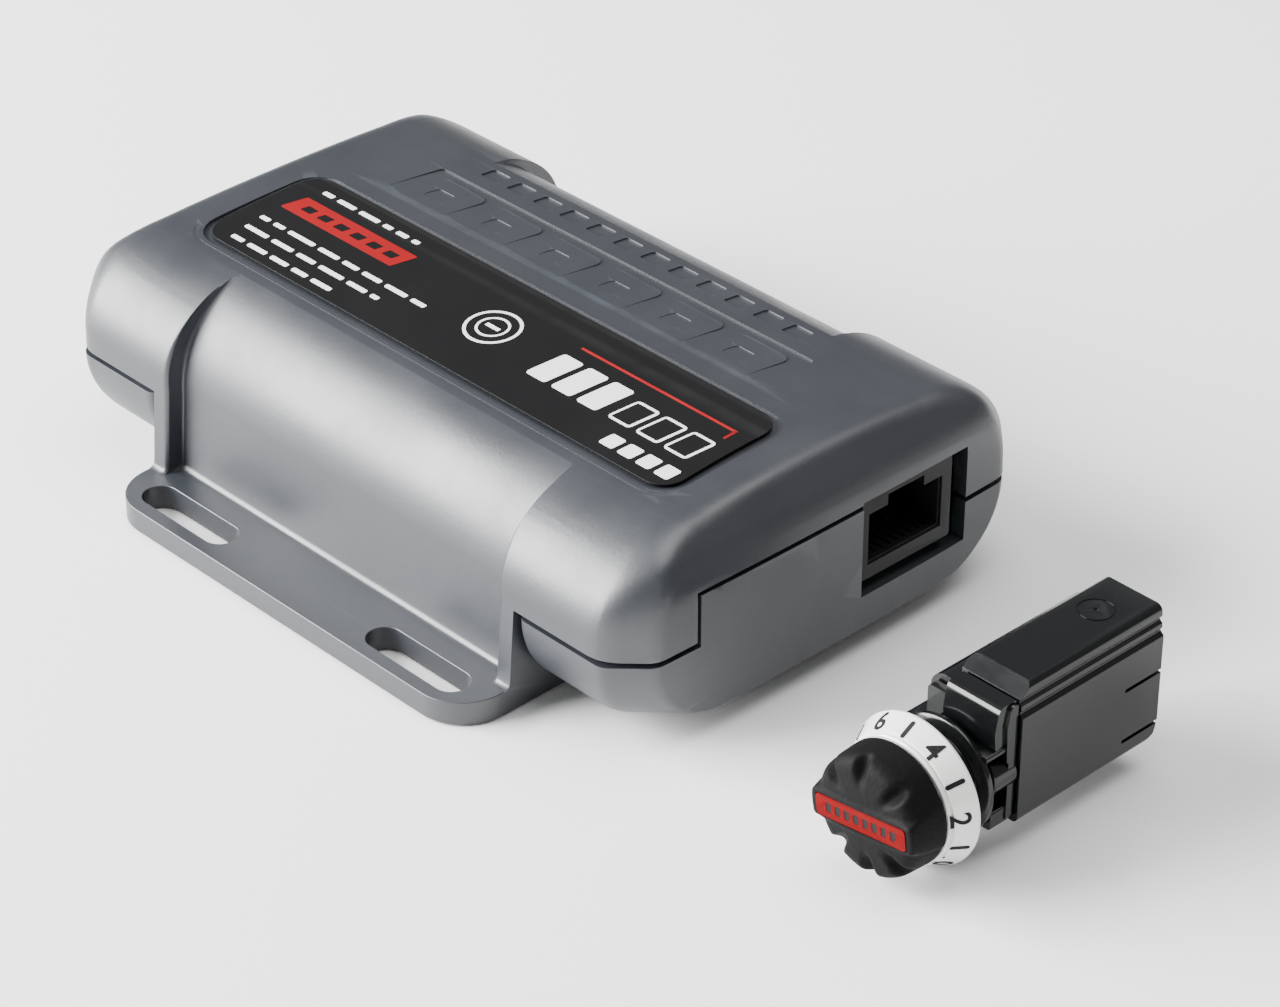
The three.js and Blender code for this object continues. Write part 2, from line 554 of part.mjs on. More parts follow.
// grip knob: a domed base with finger scallops and a raised bar across it
function knobBody() {
  const base = -RING.depth - GAP;
  const dome = turnedY([
    [0, -KNOB.shoulder - 0.6], [4, -KNOB.shoulder - 0.4], [6.1, -KNOB.shoulder + 0.2],
    [7.3, -KNOB.shoulder + 1.3], [KNOB.radius, -KNOB.shoulder + 2.8], [KNOB.radius, base], [0, base],
  ], 64);
  const hub = cylinder('y', 3.3, -4.2, -0.9, 0, 0, 32);
  const bar = box(-9, 9, -KNOB.face + 0.1, base, -KNOB.bar, KNOB.bar)
    .intersect(cylinder('y', KNOB.radius + 0.05, -12, 0, 0, 0, 64));
  const scallops = [40, 90, 140, 220, 270, 320].map((degrees) => {
    const angle = THREE.MathUtils.degToRad(degrees);
    const pit = new THREE.SphereGeometry(SCALLOP.radius, 16, 12);
    pit.scale(1, SCALLOP.stretch, 1);
    pit.translate(SCALLOP.reach * Math.cos(angle), -SCALLOP.front, SCALLOP.reach * Math.sin(angle));
    return solid(pit);
  });
  const seat = box(-PLATE.x - GAP, PLATE.x + GAP, -KNOB.face - 1, -KNOB.face + PLATE.thick + GAP,
    -PLATE.z - GAP, PLATE.z + GAP);
  const shaftHole = cylinder('y', STEM.shaft + GAP, -6.5, 1, 0, 0, 20);
  return union(dome, hub, bar).subtract(union(seat, shaftHole, ...scallops));
}

function knobPlate() {
  return alongY(rectangle(-PLATE.x, PLATE.x, -PLATE.z, PLATE.z, 0.5), -KNOB.face, -KNOB.face + PLATE.thick);
}

// ---- the assembly ----
const finishes = {
  casing: { color: 0x565b64, roughness: 0.55, metalness: 0 },
  label: { color: 0x141416, roughness: 0.35, metalness: 0 },
  black: { color: 0x0e0f10, roughness: 0.3, metalness: 0 },
  grip: { color: 0x1b1c1e, roughness: 0.75, metalness: 0 },
  red: { color: 0xb5121b, roughness: 0.4, metalness: 0 },
  clear: { color: 0xe8e8e4, roughness: 0.25, metalness: 0 },
  steel: { color: 0xb0b2b5, roughness: 0.35, metalness: 1 },
  gold: { color: 0xc9a24a, roughness: 0.3, metalness: 1 },
  aluminium: { color: 0xc2c5c8, roughness: 0.4, metalness: 1 },
  board: { color: 0x1e5a32, roughness: 0.5, metalness: 0 },
  rubber: { color: 0x1a1a1a, roughness: 0.85, metalness: 0 },
};

const unit = new THREE.Group();
const mainUnit = new THREE.Group();
const remoteHead = new THREE.Group();
const knob = new THREE.Group();
remoteHead.position.copy(HEAD_AT);
knob.rotation.y = THREE.MathUtils.degToRad(-KNOB.rest);
remoteHead.add(knob);
unit.add(mainUnit, remoteHead);

function place(parent, name, body, finish) {
  const mesh = new THREE.Mesh(geometryOf(body), new THREE.MeshStandardMaterial(finishes[finish]));
  mesh.name = name;
  parent.add(mesh);
}

place(mainUnit, 'upper_cover', upperCover(), 'casing');
place(mainUnit, 'lower_cover', lowerCover(), 'casing');
place(mainUnit, 'label_plate', labelPlate(), 'label');
corners.forEach(([sx, sy], i) => place(mainUnit, `cover_screw_${i + 1}`, coverScrew(sx, sy), 'steel'));
place(mainUnit, 'circuit_board', circuitBoard(), 'board');
[-1, 1].forEach((s, i) => place(mainUnit, `board_screw_${i + 1}`, boardScrew(s), 'steel'));
place(mainUnit, 'socket_housing', socketHousing(), 'black');
const mainComb = contactComb(8, 1.2, SOCKET.face - PORT.depth + GAP, 8, 12.3, PORT.z0 + GAP);
place(mainUnit, 'socket_contacts', mainComb, 'gold');
place(mainUnit, 'heat_spreader', heatSpreader(), 'aluminium');
[0, 1, 2, 3].forEach((i) => place(mainUnit, `transistor_${i + 1}`, transistor(i), 'black'));
[0, 1, 2].forEach((i) => place(mainUnit, `capacitor_${i + 1}`, capacitor(i), 'aluminium'));
place(mainUnit, 'power_terminal', powerTerminal(), 'black');
place(mainUnit, 'controller_chip', box(14, 24, 2, 12, BOARD.z1 + GAP, BOARD.z1 + 1.6), 'black');
place(mainUnit, 'motion_sensor', box(28, 32, -6, -2, BOARD.z1 + GAP, BOARD.z1 + 1.4), 'black');
place(mainUnit, 'harness_grommet', harnessGrommet(), 'rubber');

place(remoteHead, 'head_housing', headHousing(), 'black');
place(remoteHead, 'head_carrier', headCarrier(), 'black');
place(remoteHead, 'head_board', box(-5.4, 5.4, 10.6, 33, -4.8, -3.6), 'board');
place(remoteHead, 'rotary_control', rotaryControl(), 'steel');
place(remoteHead, 'push_switch', box(-3, 3, STEM.end + TRAVEL + GAP, 20.1, -3.2, 3), 'black');
place(remoteHead, 'head_socket', headSocket(), 'black');
place(remoteHead, 'head_contacts', headContacts(), 'gold');
place(remoteHead, 'return_spring', returnSpring(), 'steel');
place(remoteHead, 'push_sleeve', pushSleeve(), 'black');
place(knob, 'knob_shaft', knobShaft(), 'steel');
place(knob, 'dial_ring', dialRing(), 'clear');
place(knob, 'knob_body', knobBody(), 'grip');
place(knob, 'knob_plate', knobPlate(), 'red');

export default unit;
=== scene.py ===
import json
import math

import bmesh
import bpy
import numpy as np
from mathutils import Matrix, Vector


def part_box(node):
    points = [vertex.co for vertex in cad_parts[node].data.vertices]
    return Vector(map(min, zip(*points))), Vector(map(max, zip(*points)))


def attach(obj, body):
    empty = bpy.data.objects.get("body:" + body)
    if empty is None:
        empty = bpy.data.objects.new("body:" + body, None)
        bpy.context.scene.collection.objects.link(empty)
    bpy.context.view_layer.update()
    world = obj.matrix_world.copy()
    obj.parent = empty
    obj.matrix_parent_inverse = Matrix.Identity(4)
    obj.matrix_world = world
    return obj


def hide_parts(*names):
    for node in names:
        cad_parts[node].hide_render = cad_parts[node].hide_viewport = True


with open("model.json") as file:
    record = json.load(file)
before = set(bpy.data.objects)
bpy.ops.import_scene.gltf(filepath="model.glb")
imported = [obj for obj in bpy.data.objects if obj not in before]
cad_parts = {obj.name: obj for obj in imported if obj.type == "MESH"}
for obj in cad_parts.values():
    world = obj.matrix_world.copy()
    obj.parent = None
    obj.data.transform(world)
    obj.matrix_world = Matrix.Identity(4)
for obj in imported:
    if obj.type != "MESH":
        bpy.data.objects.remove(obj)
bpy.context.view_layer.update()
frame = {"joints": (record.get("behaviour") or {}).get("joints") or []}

# ---------------------------------------------------------------- bench, light and camera
# A pale table top under soft studio light: one broad lamp at the front left lights the long
# wall, a weaker one overhead lights the lid, and a faint one at the right fills the socket end.
MM = 0.001


def link(name, mesh):
    piece = bpy.data.objects.new(name, mesh)
    bpy.context.scene.collection.objects.link(piece)
    return piece


def area_light(name, place, aim, size, power):
    data = bpy.data.lights.new(name, "AREA")
    data.shape = "RECTANGLE"
    data.size, data.size_y = size
    data.energy = power
    lamp = bpy.data.objects.new(name, data)
    lamp.location = place
    lamp.rotation_euler = (Vector(place) - Vector(aim)).to_track_quat("Z", "Y").to_euler()
    bpy.context.scene.collection.objects.link(lamp)


bench_mesh = bpy.data.meshes.new("bench")
bench_half = 4.0
bench_level = -0.0003
bench_mesh.from_pydata([(sx * bench_half, sy * bench_half, bench_level)
                        for sx, sy in ((-1, -1), (1, -1), (1, 1), (-1, 1))], [], [(0, 1, 2, 3)])
bench = link("bench", bench_mesh)
bench_paint = bpy.data.materials.new("bench_paint")
bench_paint.use_nodes = True
bench_shader = bench_paint.node_tree.nodes["Principled BSDF"]
bench_shader.inputs["Base Color"].default_value = (0.93, 0.93, 0.93, 1)
bench_shader.inputs["Roughness"].default_value = 0.9
bench_shader.inputs["Specular IOR Level"].default_value = 0.1
bench_mesh.materials.append(bench_paint)

area_light("front_left_softbox", (-0.64, -0.68, 0.43), (0.0, 0.0, 0.015), (0.85, 0.74), 68.0)
area_light("overhead_softbox", (0.1, 0.2, 1.2), (0.02, 0.0, 0.0), (1.0, 1.0), 14.0)
area_light("right_fill", (1.0, -0.6, 0.5), (0.08, 0.0, 0.0), (0.4, 0.4), 0.4)

world = bpy.data.worlds.new("studio")
world.use_nodes = True
world.node_tree.nodes["Background"].inputs["Color"].default_value = (1, 1, 1, 1)
world.node_tree.nodes["Background"].inputs["Strength"].default_value = 0.34
bpy.context.scene.world = world

camera_data = bpy.data.cameras.new("camera")
camera_data.sensor_width = 36
camera_data.lens = 115.25
camera = bpy.data.objects.new("camera", camera_data)
azimuth, elevation, distance = math.radians(46.53), math.radians(32.75), 0.5394
aim = Vector((0.0102, 0.0094, -0.0015))
away = Vector((math.sin(azimuth) * math.cos(elevation), -math.cos(azimuth) * math.cos(elevation),
               math.sin(elevation)))
camera.location = aim + away * distance
camera.rotation_euler = away.to_track_quat("Z", "Y").to_euler()
bpy.context.scene.collection.objects.link(camera)
bpy.context.scene.camera = camera

# ---------------------------------------------------------------- upper cover
# Lid, two ribbed columns and the slotted flanges, injection moulded in one piece from
# blue-grey ABS with a fine spark-eroded grain. Screwed to the lower cover from below.
HALF_LENGTH, HALF_WIDTH, TOP = 55.3, 34.8, 29.5
PARTING, WALL, CHAMFER = 14.4, 2.2, 5.3
SHOULDER_Y, SHOULDER_REACH = 19, 15.8     # where the lid starts to roll down, and how far out it goes
BOW, BOW_HALF = 0.5, 31                   # the end faces bow by this much at this distance
SCREW_X, SCREW_Y = 46, 26
FAR = 80                        # beyond every surface of the part
COLUMN_X, COLUMN_BACK, TROUGH_X = 34.9, 25.5, 32.1
FLANGE_Y, FLANGE_THICK = 44.0, 3.3
# the drawing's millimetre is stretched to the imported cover's own length
casing_low, casing_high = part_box("upper_cover")
FIT = (casing_high[0] - casing_low[0]) / (2 * HALF_LENGTH * MM)
MM = MM * FIT


def shader_group(name, inputs, outputs):
    group = bpy.data.node_groups.new(name, "ShaderNodeTree")
    for label, kind, value in inputs:
        socket = group.interface.new_socket(label, in_out="INPUT", socket_type=kind)
        if value is not None:
            socket.default_value = value
    for label, kind in outputs:
        group.interface.new_socket(label, in_out="OUTPUT", socket_type=kind)
    return group, group.nodes.new("NodeGroupInput"), group.nodes.new("NodeGroupOutput")


def node(tree, kind, values=(), **settings):
    made = tree.nodes.new(kind)
    for key, value in settings.items():
        setattr(made, key, value)
    for socket, value in dict(values).items():
        if isinstance(value, bpy.types.NodeSocket):
            tree.links.new(value, made.inputs[socket])
        else:
            made.inputs[socket].default_value = value
    return made


def maths(tree, operation, a, b=0.0, clamp=False):
    return node(tree, "ShaderNodeMath", {0: a, 1: b}, operation=operation, use_clamp=clamp).outputs[0]


# the stippled grain that spark erosion leaves in a mould, as a height and as a patchy mask
grain_group, grain_in, grain_out = shader_group(
    "moulded_grain",
    [("Vector", "NodeSocketVector", None), ("Grain per metre", "NodeSocketFloat", 2600.0),
     ("Patch per metre", "NodeSocketFloat", 60.0)],
    [("Height", "NodeSocketFloat"), ("Patches", "NodeSocketFloat")])
fine = node(grain_group, "ShaderNodeTexNoise", {"Vector": grain_in.outputs["Vector"], "Detail": 3.0,
            "Scale": grain_in.outputs["Grain per metre"], "Roughness": 0.6})
cells = node(grain_group, "ShaderNodeTexVoronoi", {"Vector": grain_in.outputs["Vector"],
             "Scale": grain_in.outputs["Grain per metre"]}, feature="SMOOTH_F1")
height = maths(grain_group, "ADD", maths(grain_group, "MULTIPLY", fine.outputs["Fac"], 0.6),
               maths(grain_group, "MULTIPLY", cells.outputs["Distance"], 0.5))
patches = node(grain_group, "ShaderNodeTexNoise", {"Vector": grain_in.outputs["Vector"], "Detail": 5.0,
               "Scale": grain_in.outputs["Patch per metre"], "Roughness": 0.62})
for label, socket in (("Height", height), ("Patches", patches.outputs["Fac"])):
    grain_group.links.new(socket, grain_out.inputs[label])

# handling wear: exposed corners rub pale and shiny, broken up by noise
wear_group, wear_in, wear_out = shader_group(
    "edge_wear",
    [("Vector", "NodeSocketVector", None), ("Start", "NodeSocketFloat", 0.54),
     ("Full", "NodeSocketFloat", 0.62)],
    [("Wear", "NodeSocketFloat")])
pointed = node(wear_group, "ShaderNodeNewGeometry").outputs["Pointiness"]
crests = node(wear_group, "ShaderNodeMapRange", {"Value": pointed, "From Min": wear_in.outputs["Start"],
              "From Max": wear_in.outputs["Full"]}).outputs["Result"]
scuffs = node(wear_group, "ShaderNodeTexNoise", {"Vector": wear_in.outputs["Vector"], "Scale": 240.0,
              "Detail": 4.0}).outputs["Fac"]
wear_group.links.new(maths(wear_group, "MULTIPLY", crests, scuffs), wear_out.inputs["Wear"])


def moulded(name, colour, worn, roughness=0.45, grain=0.02, density=2600.0, spread=0.06, tone=0.12,
            specular=0.5, metallic=0.0, coat=0.0, start=0.53):
    # a moulded or plain finish: fine relief, uneven gloss and tone, rubbed edges
    paint = bpy.data.materials.new(name)
    paint.use_nodes = True
    tree = paint.node_tree
    shader = tree.nodes["Principled BSDF"]
    place = node(tree, "ShaderNodeTexCoord").outputs["Object"]
    texture = node(tree, "ShaderNodeGroup", node_tree=grain_group)
    tree.links.new(place, texture.inputs["Vector"])
    texture.inputs["Grain per metre"].default_value = density
    wear = node(tree, "ShaderNodeGroup", node_tree=wear_group)
    tree.links.new(place, wear.inputs["Vector"])
    wear.inputs["Start"].default_value, wear.inputs["Full"].default_value = start, start + 0.09
    dark = [c * (1 - tone) for c in colour] + [1]
    light = [c * (1 + tone) for c in colour] + [1]
    shade = node(tree, "ShaderNodeMix", {"Factor": texture.outputs["Patches"]}, data_type="RGBA")
    shade.inputs[6].default_value, shade.inputs[7].default_value = dark, light
    rubbed = node(tree, "ShaderNodeMix", {"Factor": maths(tree, "MULTIPLY", wear.outputs["Wear"], 0.8)},
                  data_type="RGBA")
    tree.links.new(shade.outputs[2], rubbed.inputs[6])
    rubbed.inputs[7].default_value = [*worn, 1]
    tree.links.new(rubbed.outputs[2], shader.inputs["Base Color"])
    gloss = node(tree, "ShaderNodeMapRange", {"Value": texture.outputs["Patches"], "From Min": 0.3,
                                              "From Max": 0.7,
                 "To Min": roughness - spread, "To Max": roughness + spread}).outputs["Result"]
    tree.links.new(maths(tree, "SUBTRACT", gloss, maths(tree, "MULTIPLY", wear.outputs["Wear"], 0.1), True),
                   shader.inputs["Roughness"])
    relief = node(tree, "ShaderNodeBump", {"Height": texture.outputs["Height"], "Strength": 0.35,
                                           "Distance": grain * MM})
    tree.links.new(relief.outputs["Normal"], shader.inputs["Normal"])
    shader.inputs["Specular IOR Level"].default_value = specular
    shader.inputs["Metallic"].default_value = metallic
    shader.inputs["Coat Weight"].default_value = coat
    return paint


def painted(piece, paint):
    piece.data.materials.clear()
    piece.data.materials.append(paint)
    return piece


casing_plastic = moulded("casing_plastic", (0.0165, 0.0195, 0.025), (0.055, 0.062, 0.076), roughness=0.42,
                         grain=0.05, density=1900.0, tone=0.05, specular=0.9, start=0.58)


def smax(a, b, soft):
    overlap = np.maximum(soft - np.abs(a - b), 0) / soft
    return np.maximum(a, b) + overlap * overlap * soft / 4


def smin(a, b, soft):
    return -smax(-a, -b, soft)


def crown(y):
    # the lid drops by one millimetre from its middle line to its shoulders
    return TOP - (np.minimum(np.abs(y), SHOULDER_Y) / SHOULDER_Y) ** 2


def end_field(x, y, z):
    # bowed end face, its sloping facet and the chamfered plan corners
    ax, ay = np.abs(x), np.abs(y)
    face = ax - (HALF_LENGTH - BOW * (ay / BOW_HALF) ** 2)
    facet = (ax - HALF_LENGTH) * 0.758 + (z - 23.4) * 0.652
    corner = (ax + ay - HALF_LENGTH - HALF_WIDTH + CHAMFER) / math.sqrt(2)
    roll = np.hypot(np.maximum(corner + 10, 0) / 10, np.maximum(z - 16.5, 0) / 13) - 1
    return smax(smax(face, facet, 2.0), roll * 10, 0.9)


def lid_field(x, y, z):
    ay = np.abs(y)
    lifted = z + TOP - crown(y)
    over = np.hypot(np.maximum(ay - SHOULDER_Y, 0) / SHOULDER_REACH, np.maximum(lifted - 17.5, 0) / 12)
    dome = (over - 1) * 12.5
    ends = end_field(x, y, z)
    return smax(dome, ends, 1.6)


def upper_field(x, y, z):
    ay = np.abs(y)
    flare = 1.2 * np.clip((15.5 - z) / 15.5, 0, 1)
    foot = np.clip(1 - (z - FLANGE_THICK) / 0.9, 0, 1)
    fillet = 0.9 * (1 - np.sqrt(np.clip(1 - foot * foot, 0, 1)))
    body = smax(lid_field(x, np.sign(y) * np.maximum(ay - flare - fillet, 0), z), -z, 0.05)
    wall = np.where(z > PARTING, 0, 0.9 * (PARTING - z) / 11.1)
    past = ay - 17.5
    over = np.hypot(np.maximum(past, 0) / (14.9 + wall), np.maximum(z - PARTING, 0) / 14.5)
    trough = (over - 1) * 14.7 - fillet - np.maximum(-past, 0)
    meeting = 0.9 * np.clip((26.5 - z) / 6, 0.03, 1)
    return smax(body, smin(trough, TROUGH_X - np.abs(x), 0.5), meeting)


def solve(field, inside, outside, steps=36):
    # halves the stretch from inside points to outside points until the surface is met
    near, far = np.array(inside, float), np.array(outside, float)
    for _ in range(steps):
        middle = (near + far) / 2
        within = (field(middle[..., 0], middle[..., 1], middle[..., 2]) < 0)[..., None]
        near = np.where(within, middle, near)
        far = np.where(within, far, middle)
    return (near + far) / 2


def bearings(field, x, centre, count):
    # angles around a section, closer together where the outline bends
    fine = np.linspace(0, 2 * math.pi, 3001)
    rays = np.stack([np.zeros_like(fine), np.cos(fine), np.sin(fine)], -1)
    start = np.array([x, centre[0], centre[1]]) + 0 * rays
    outline = solve(field, start, start + rays * 90)
    run = np.diff(outline, axis=0)
    length = np.linalg.norm(run, axis=1)
    heading = np.unwrap(np.arctan2(run[:, 2], run[:, 1]))
    bend = np.abs(np.diff(heading, append=heading[-1]))
    weight = np.cumsum(length + 14 * np.minimum(bend, 0.2))
    return np.interp(np.arange(count) / count * weight[-1], np.concatenate([[0], weight]), fine)


def lofted(name, field, stations, angles, centre, reach=(-60, 60)):
    # a closed skin around a solid that every ray from its long axis leaves once
    stations = np.array(stations, float)
    rays = np.stack([np.zeros_like(angles), np.cos(angles), np.sin(angles)], -1)
    start = np.zeros((len(stations), len(angles), 3))
    start[..., 0] = stations[:, None]
    start[..., 1], start[..., 2] = centre
    rings = list(solve(field, start, start + rays * 90))
    for end, ring, target in ((-1, rings[0], reach[0]), (1, rings[-1], reach[1])):
        caps = []
        for share in (0.985, 0.95, 0.88, 0.75, 0.55, 0.3):
            inner = ring.copy()
            inner[:, 1] = centre[0] + share * (ring[:, 1] - centre[0])
            inner[:, 2] = centre[1] + share * (ring[:, 2] - centre[1])
            beyond = inner.copy()
            beyond[:, 0] = target
            caps.append(solve(field, inner - [end * 0.4, 0, 0], beyond))
        rings = rings + caps if end > 0 else caps[::-1] + rings
    count = len(angles)
    points = np.concatenate(rings)
    faces = [(r * count + i, r * count + (i + 1) % count, (r + 1) * count + (i + 1) % count,
              (r + 1) * count + i)
             for r in range(len(rings) - 1) for i in range(count)]
    first, last = len(points), len(points) + 1
    points = np.concatenate([points, rings[0].mean(0)[None], rings[-1].mean(0)[None]])
    tail = (len(rings) - 1) * count
    faces += [(first, (i + 1) % count, i) for i in range(count)]
    faces += [(last, tail + i, tail + (i + 1) % count) for i in range(count)]
    return closed(name, points, faces)


def closed(name, points, faces):
    # a mesh in millimetres becomes an object in metres with its faces outwards
    mesh = bpy.data.meshes.new(name)
    mesh.from_pydata([tuple(p) for p in np.asarray(points, float) * MM], [], faces)
    shape = bmesh.new()
    shape.from_mesh(mesh)
    bmesh.ops.remove_doubles(shape, verts=shape.verts, dist=1e-6)
    bmesh.ops.recalc_face_normals(shape, faces=shape.faces)
    if shape.calc_volume(signed=True) < 0:
        bmesh.ops.reverse_faces(shape, faces=shape.faces)
    shape.to_mesh(mesh)
    shape.free()
    return link(name, mesh)


def block(x0, x1, y0, y1, z0, z1, name="block"):
    points = [(x, y, z) for x in (x0, x1) for y in (y0, y1) for z in (z0, z1)]
    return closed(name, points, [(0, 1, 3, 2), (4, 6, 7, 5), (0, 4, 5, 1), (2, 3, 7, 6), (0, 2, 6, 4),
                                 (1, 5, 7, 3)])


def prism(outline, low, high, axis="z", name="prism"):
    # an outline swept straight along one axis; low and high may follow the outline's own points
    count = len(outline)
    levels = [np.broadcast_to(low, count), np.broadcast_to(high, count)]
    order = {"x": lambda a, b, h: (h, a, b),
             "y": lambda a, b, h: (a, h, b),
             "z": lambda a, b, h: (a, b, h)}[axis]
    points = [order(a, b, level[i]) for level in levels for i, (a, b) in enumerate(outline)]
    sides = [(i, (i + 1) % count, count + (i + 1) % count, count + i) for i in range(count)]
    return closed(name, points, [tuple(range(count)), tuple(range(count, 2 * count))] + sides)


def rod(axis, radius, low, high, a, b, sides=32):
    turn = np.arange(sides) / sides * 2 * math.pi
    return prism([(a + radius * math.cos(t), b + radius * math.sin(t)) for t in turn], low, high, axis)


def soft_corners(corners, radius, steps=6):
    # an outline whose corners are true arcs; radius may be one number or one for each corner
    radii = np.broadcast_to(radius, len(corners))
    outline = []
    for i, corner in enumerate(corners):
        here = np.array(corner, float)
        back = np.array(corners[i - 1], float) - here
        ahead = np.array(corners[(i + 1) % len(corners)], float) - here
        back, ahead = back / np.linalg.norm(back), ahead / np.linalg.norm(ahead)
        if radii[i] <= 0:
            outline.append(tuple(here))
            continue
        half = math.acos(float(np.clip(back @ ahead, -1, 1))) / 2
        middle = here + (back + ahead) / np.linalg.norm(back + ahead) * radii[i] / math.sin(half)
        enter, leave = here + back * radii[i] / math.tan(half), here + ahead * radii[i] / math.tan(half)
        from_angle = math.atan2(*(enter - middle)[::-1])
        sweep = (math.atan2(*(leave - middle)[::-1]) - from_angle + math.pi) % (2 * math.pi) - math.pi
        turns = [from_angle + sweep * s / steps for s in range(steps + 1)]
        outline += [(middle[0] + radii[i] * math.cos(t), middle[1] + radii[i] * math.sin(t)) for t in turns]
    return outline


def oblong(x0, x1, y0, y1, radius, steps=6):
    return soft_corners([(x0, y0), (x1, y0), (x1, y1), (x0, y1)], radius, steps)


def discard(piece):
    bpy.data.objects.remove(piece, do_unlink=True)


def join_pieces(pieces):
    shape = bmesh.new()
    for piece in pieces:
        shape.from_mesh(piece.data)
    mesh = bpy.data.meshes.new(pieces[0].name)
    shape.to_mesh(mesh)
    shape.free()
    for piece in pieces:
        discard(piece)
    return link(mesh.name, mesh)


def carve(body, tools, operation="DIFFERENCE"):
    # joins the tools to the body, or cuts them out of it, one after the other
    for tool in tools:
        step = body.modifiers.new("carve", "BOOLEAN")
        step.object, step.operation, step.solver = tool, operation, "MANIFOLD"
        evaluated = body.evaluated_get(bpy.context.evaluated_depsgraph_get())
        mesh = bpy.data.meshes.new_from_object(evaluated)
        body.modifiers.remove(step)
        body.data = mesh
        discard(tool)
    return body


def applied(body):
    mesh = bpy.data.meshes.new_from_object(body.evaluated_get(bpy.context.evaluated_depsgraph_get()))
    body.modifiers.clear()
    body.data = mesh
    return body


def softened(body, width, segments=2, angle=32):
    # merges slivers, rounds every crisp edge a little and shades across the shallow ones
    shape = bmesh.new()
    shape.from_mesh(body.data)
    bmesh.ops.remove_doubles(shape, verts=shape.verts, dist=4e-6)
    bmesh.ops.dissolve_limit(shape, angle_limit=math.radians(0.06), verts=shape.verts, edges=shape.edges)
    shape.to_mesh(body.data)
    shape.free()
    bevel = body.modifiers.new("bevel", "BEVEL")
    bevel.width, bevel.segments = width * MM, segments
    bevel.limit_method, bevel.angle_limit = "ANGLE", math.radians(angle)
    bevel.use_clamp_overlap = True
    bevel.miter_outer = "MITER_ARC"
    return shaded(applied(body), angle)


def shaded(body, angle=32):
    # smooth across shallow edges, with the broad faces keeping their own flat direction
    body.data.shade_smooth()
    shape = bmesh.new()
    shape.from_mesh(body.data)
    for edge in shape.edges:
        edge.smooth = len(edge.link_faces) == 2 and edge.calc_face_angle(0) < math.radians(angle)
    shape.to_mesh(body.data)
    shape.free()
    weighted = body.modifiers.new("weighted", "WEIGHTED_NORMAL")
    weighted.keep_sharp = True
    return applied(body)


def both_ways(values):
    return sorted({round(s * v, 4) for v in values for s in (-1, 1)})


column_stations = [0, 12, 24, 30, 31, *np.arange(31.5, 33.6, 0.15), 34, 34.5, 34.9]
end_stations = [36, 38, 41, 44, 46.5, 48, *np.arange(49, 54.9, 0.3)]
stations = both_ways([*column_stations, *end_stations])
lid_centre = (0.0, 8.0)
upper_angles = bearings(upper_field, 20.0, lid_centre, 168)
upper = lofted("upper_cover_skin", upper_field, stations, upper_angles, lid_centre)


def flange(side):
    middle, half = side * 39.6, 2.35
    plate = prism(soft_corners([(-COLUMN_X, side * 30), (COLUMN_X, side * 30), (COLUMN_X, side * FLANGE_Y),
                                (-COLUMN_X, side * FLANGE_Y)], [0, 0, 6.8, 6.8], 12), 0, FLANGE_THICK)
    slots = [prism(oblong(*sorted((end * 13.8, end * 31.0)), middle - half, middle + half, 2.349, 10),
                   -1, FLANGE_THICK + 1) for end in (-1, 1)]
    return softened(carve(plate, slots), 0.55, 3)


def lid_level(y):
    beyond = np.clip((np.abs(y) - SHOULDER_Y) / SHOULDER_REACH, 0, 1)
    return np.where(np.abs(y) > SHOULDER_Y, 16.5 + 12 * np.sqrt(1 - beyond ** 2), crown(y))


def banded(outline, low, high):
    # an outline swept upwards and kept only between two levels that follow the lid
    ys = np.arange(-23, 23.1, 1.0)
    band = [(y, lid_level(y) + low) for y in ys] + [(y, lid_level(y) + high) for y in ys[::-1]]
    return carve(prism(outline, 15, 40), [prism(band, -60, 60, "x")], "INTERSECT")


carve(upper, [flange(-1), flange(1)], "UNION")
carve(upper, [block(s * COLUMN_X if s > 0 else -70, 70 if s > 0 else s * COLUMN_X, -50, 50, -2, PARTING)
              for s in (-1, 1)])
inner_field = lambda x, y, z: upper_field(x, y, z) + WALL
inner_stations = both_ways([0, 20, 30, 32, 33, 34, 36, 40, 45, 48, 50, 51, 52])
inner = lofted("room", inner_field, inner_stations, bearings(inner_field, 20.0, lid_centre, 60), lid_centre)
carve(inner, [block(-FAR, FAR, -FAR, FAR, -FAR, PARTING - 0.6)])
corners = [(sx, sy) for sx in (-1, 1) for sy in (-1, 1)]
bosses = [rod("z", 3.1, 5.4, 24.5, sx * SCREW_X, sy * SCREW_Y, 28) for sx, sy in corners]
carve(upper, [inner, block(-32.7, 32.7, -31.1, 31.1, -2, PARTING),
              block(-36, 36, -COLUMN_BACK, COLUMN_BACK, -2, PARTING + 0.1)])
carve(upper, bosses, "UNION")
label_x, label_low, label_high = 44.1, -18.7, 1.4
recess = banded(oblong(-label_x - 1.1, label_x + 1.1, label_low - 1.1, label_high + 1.1, 4.2), -0.65, 3)
window = (4.1, 22.9, 8.1, 21.8)
grommet_hole = (-60, -47, -9.6, 9.6, 8.6, 19.4)
carve(upper, [recess, block(52.0, 60, -23.7, window[0] + 1, PARTING - 1, 21.5),
              block(47, 60, *window), block(*grommet_hole)])
carve(upper, [rod("z", 1.5, 4, 16, sx * SCREW_X, sy * SCREW_Y, 20) for sx, sy in corners])


# raised blocks with sunk middles stand in a shallow panel behind the label, and a row of small
# bars is sunk in the lid behind that
def slanted(x0, x1, y0, y1, lean=0.0, radius=0.0):
    shift = lean * (y1 - y0)
    corners = [(x0, y0), (x1, y0), (x1 + shift, y1), (x0 + shift, y1)]
    return soft_corners(corners, radius, 4) if radius > 0 else corners


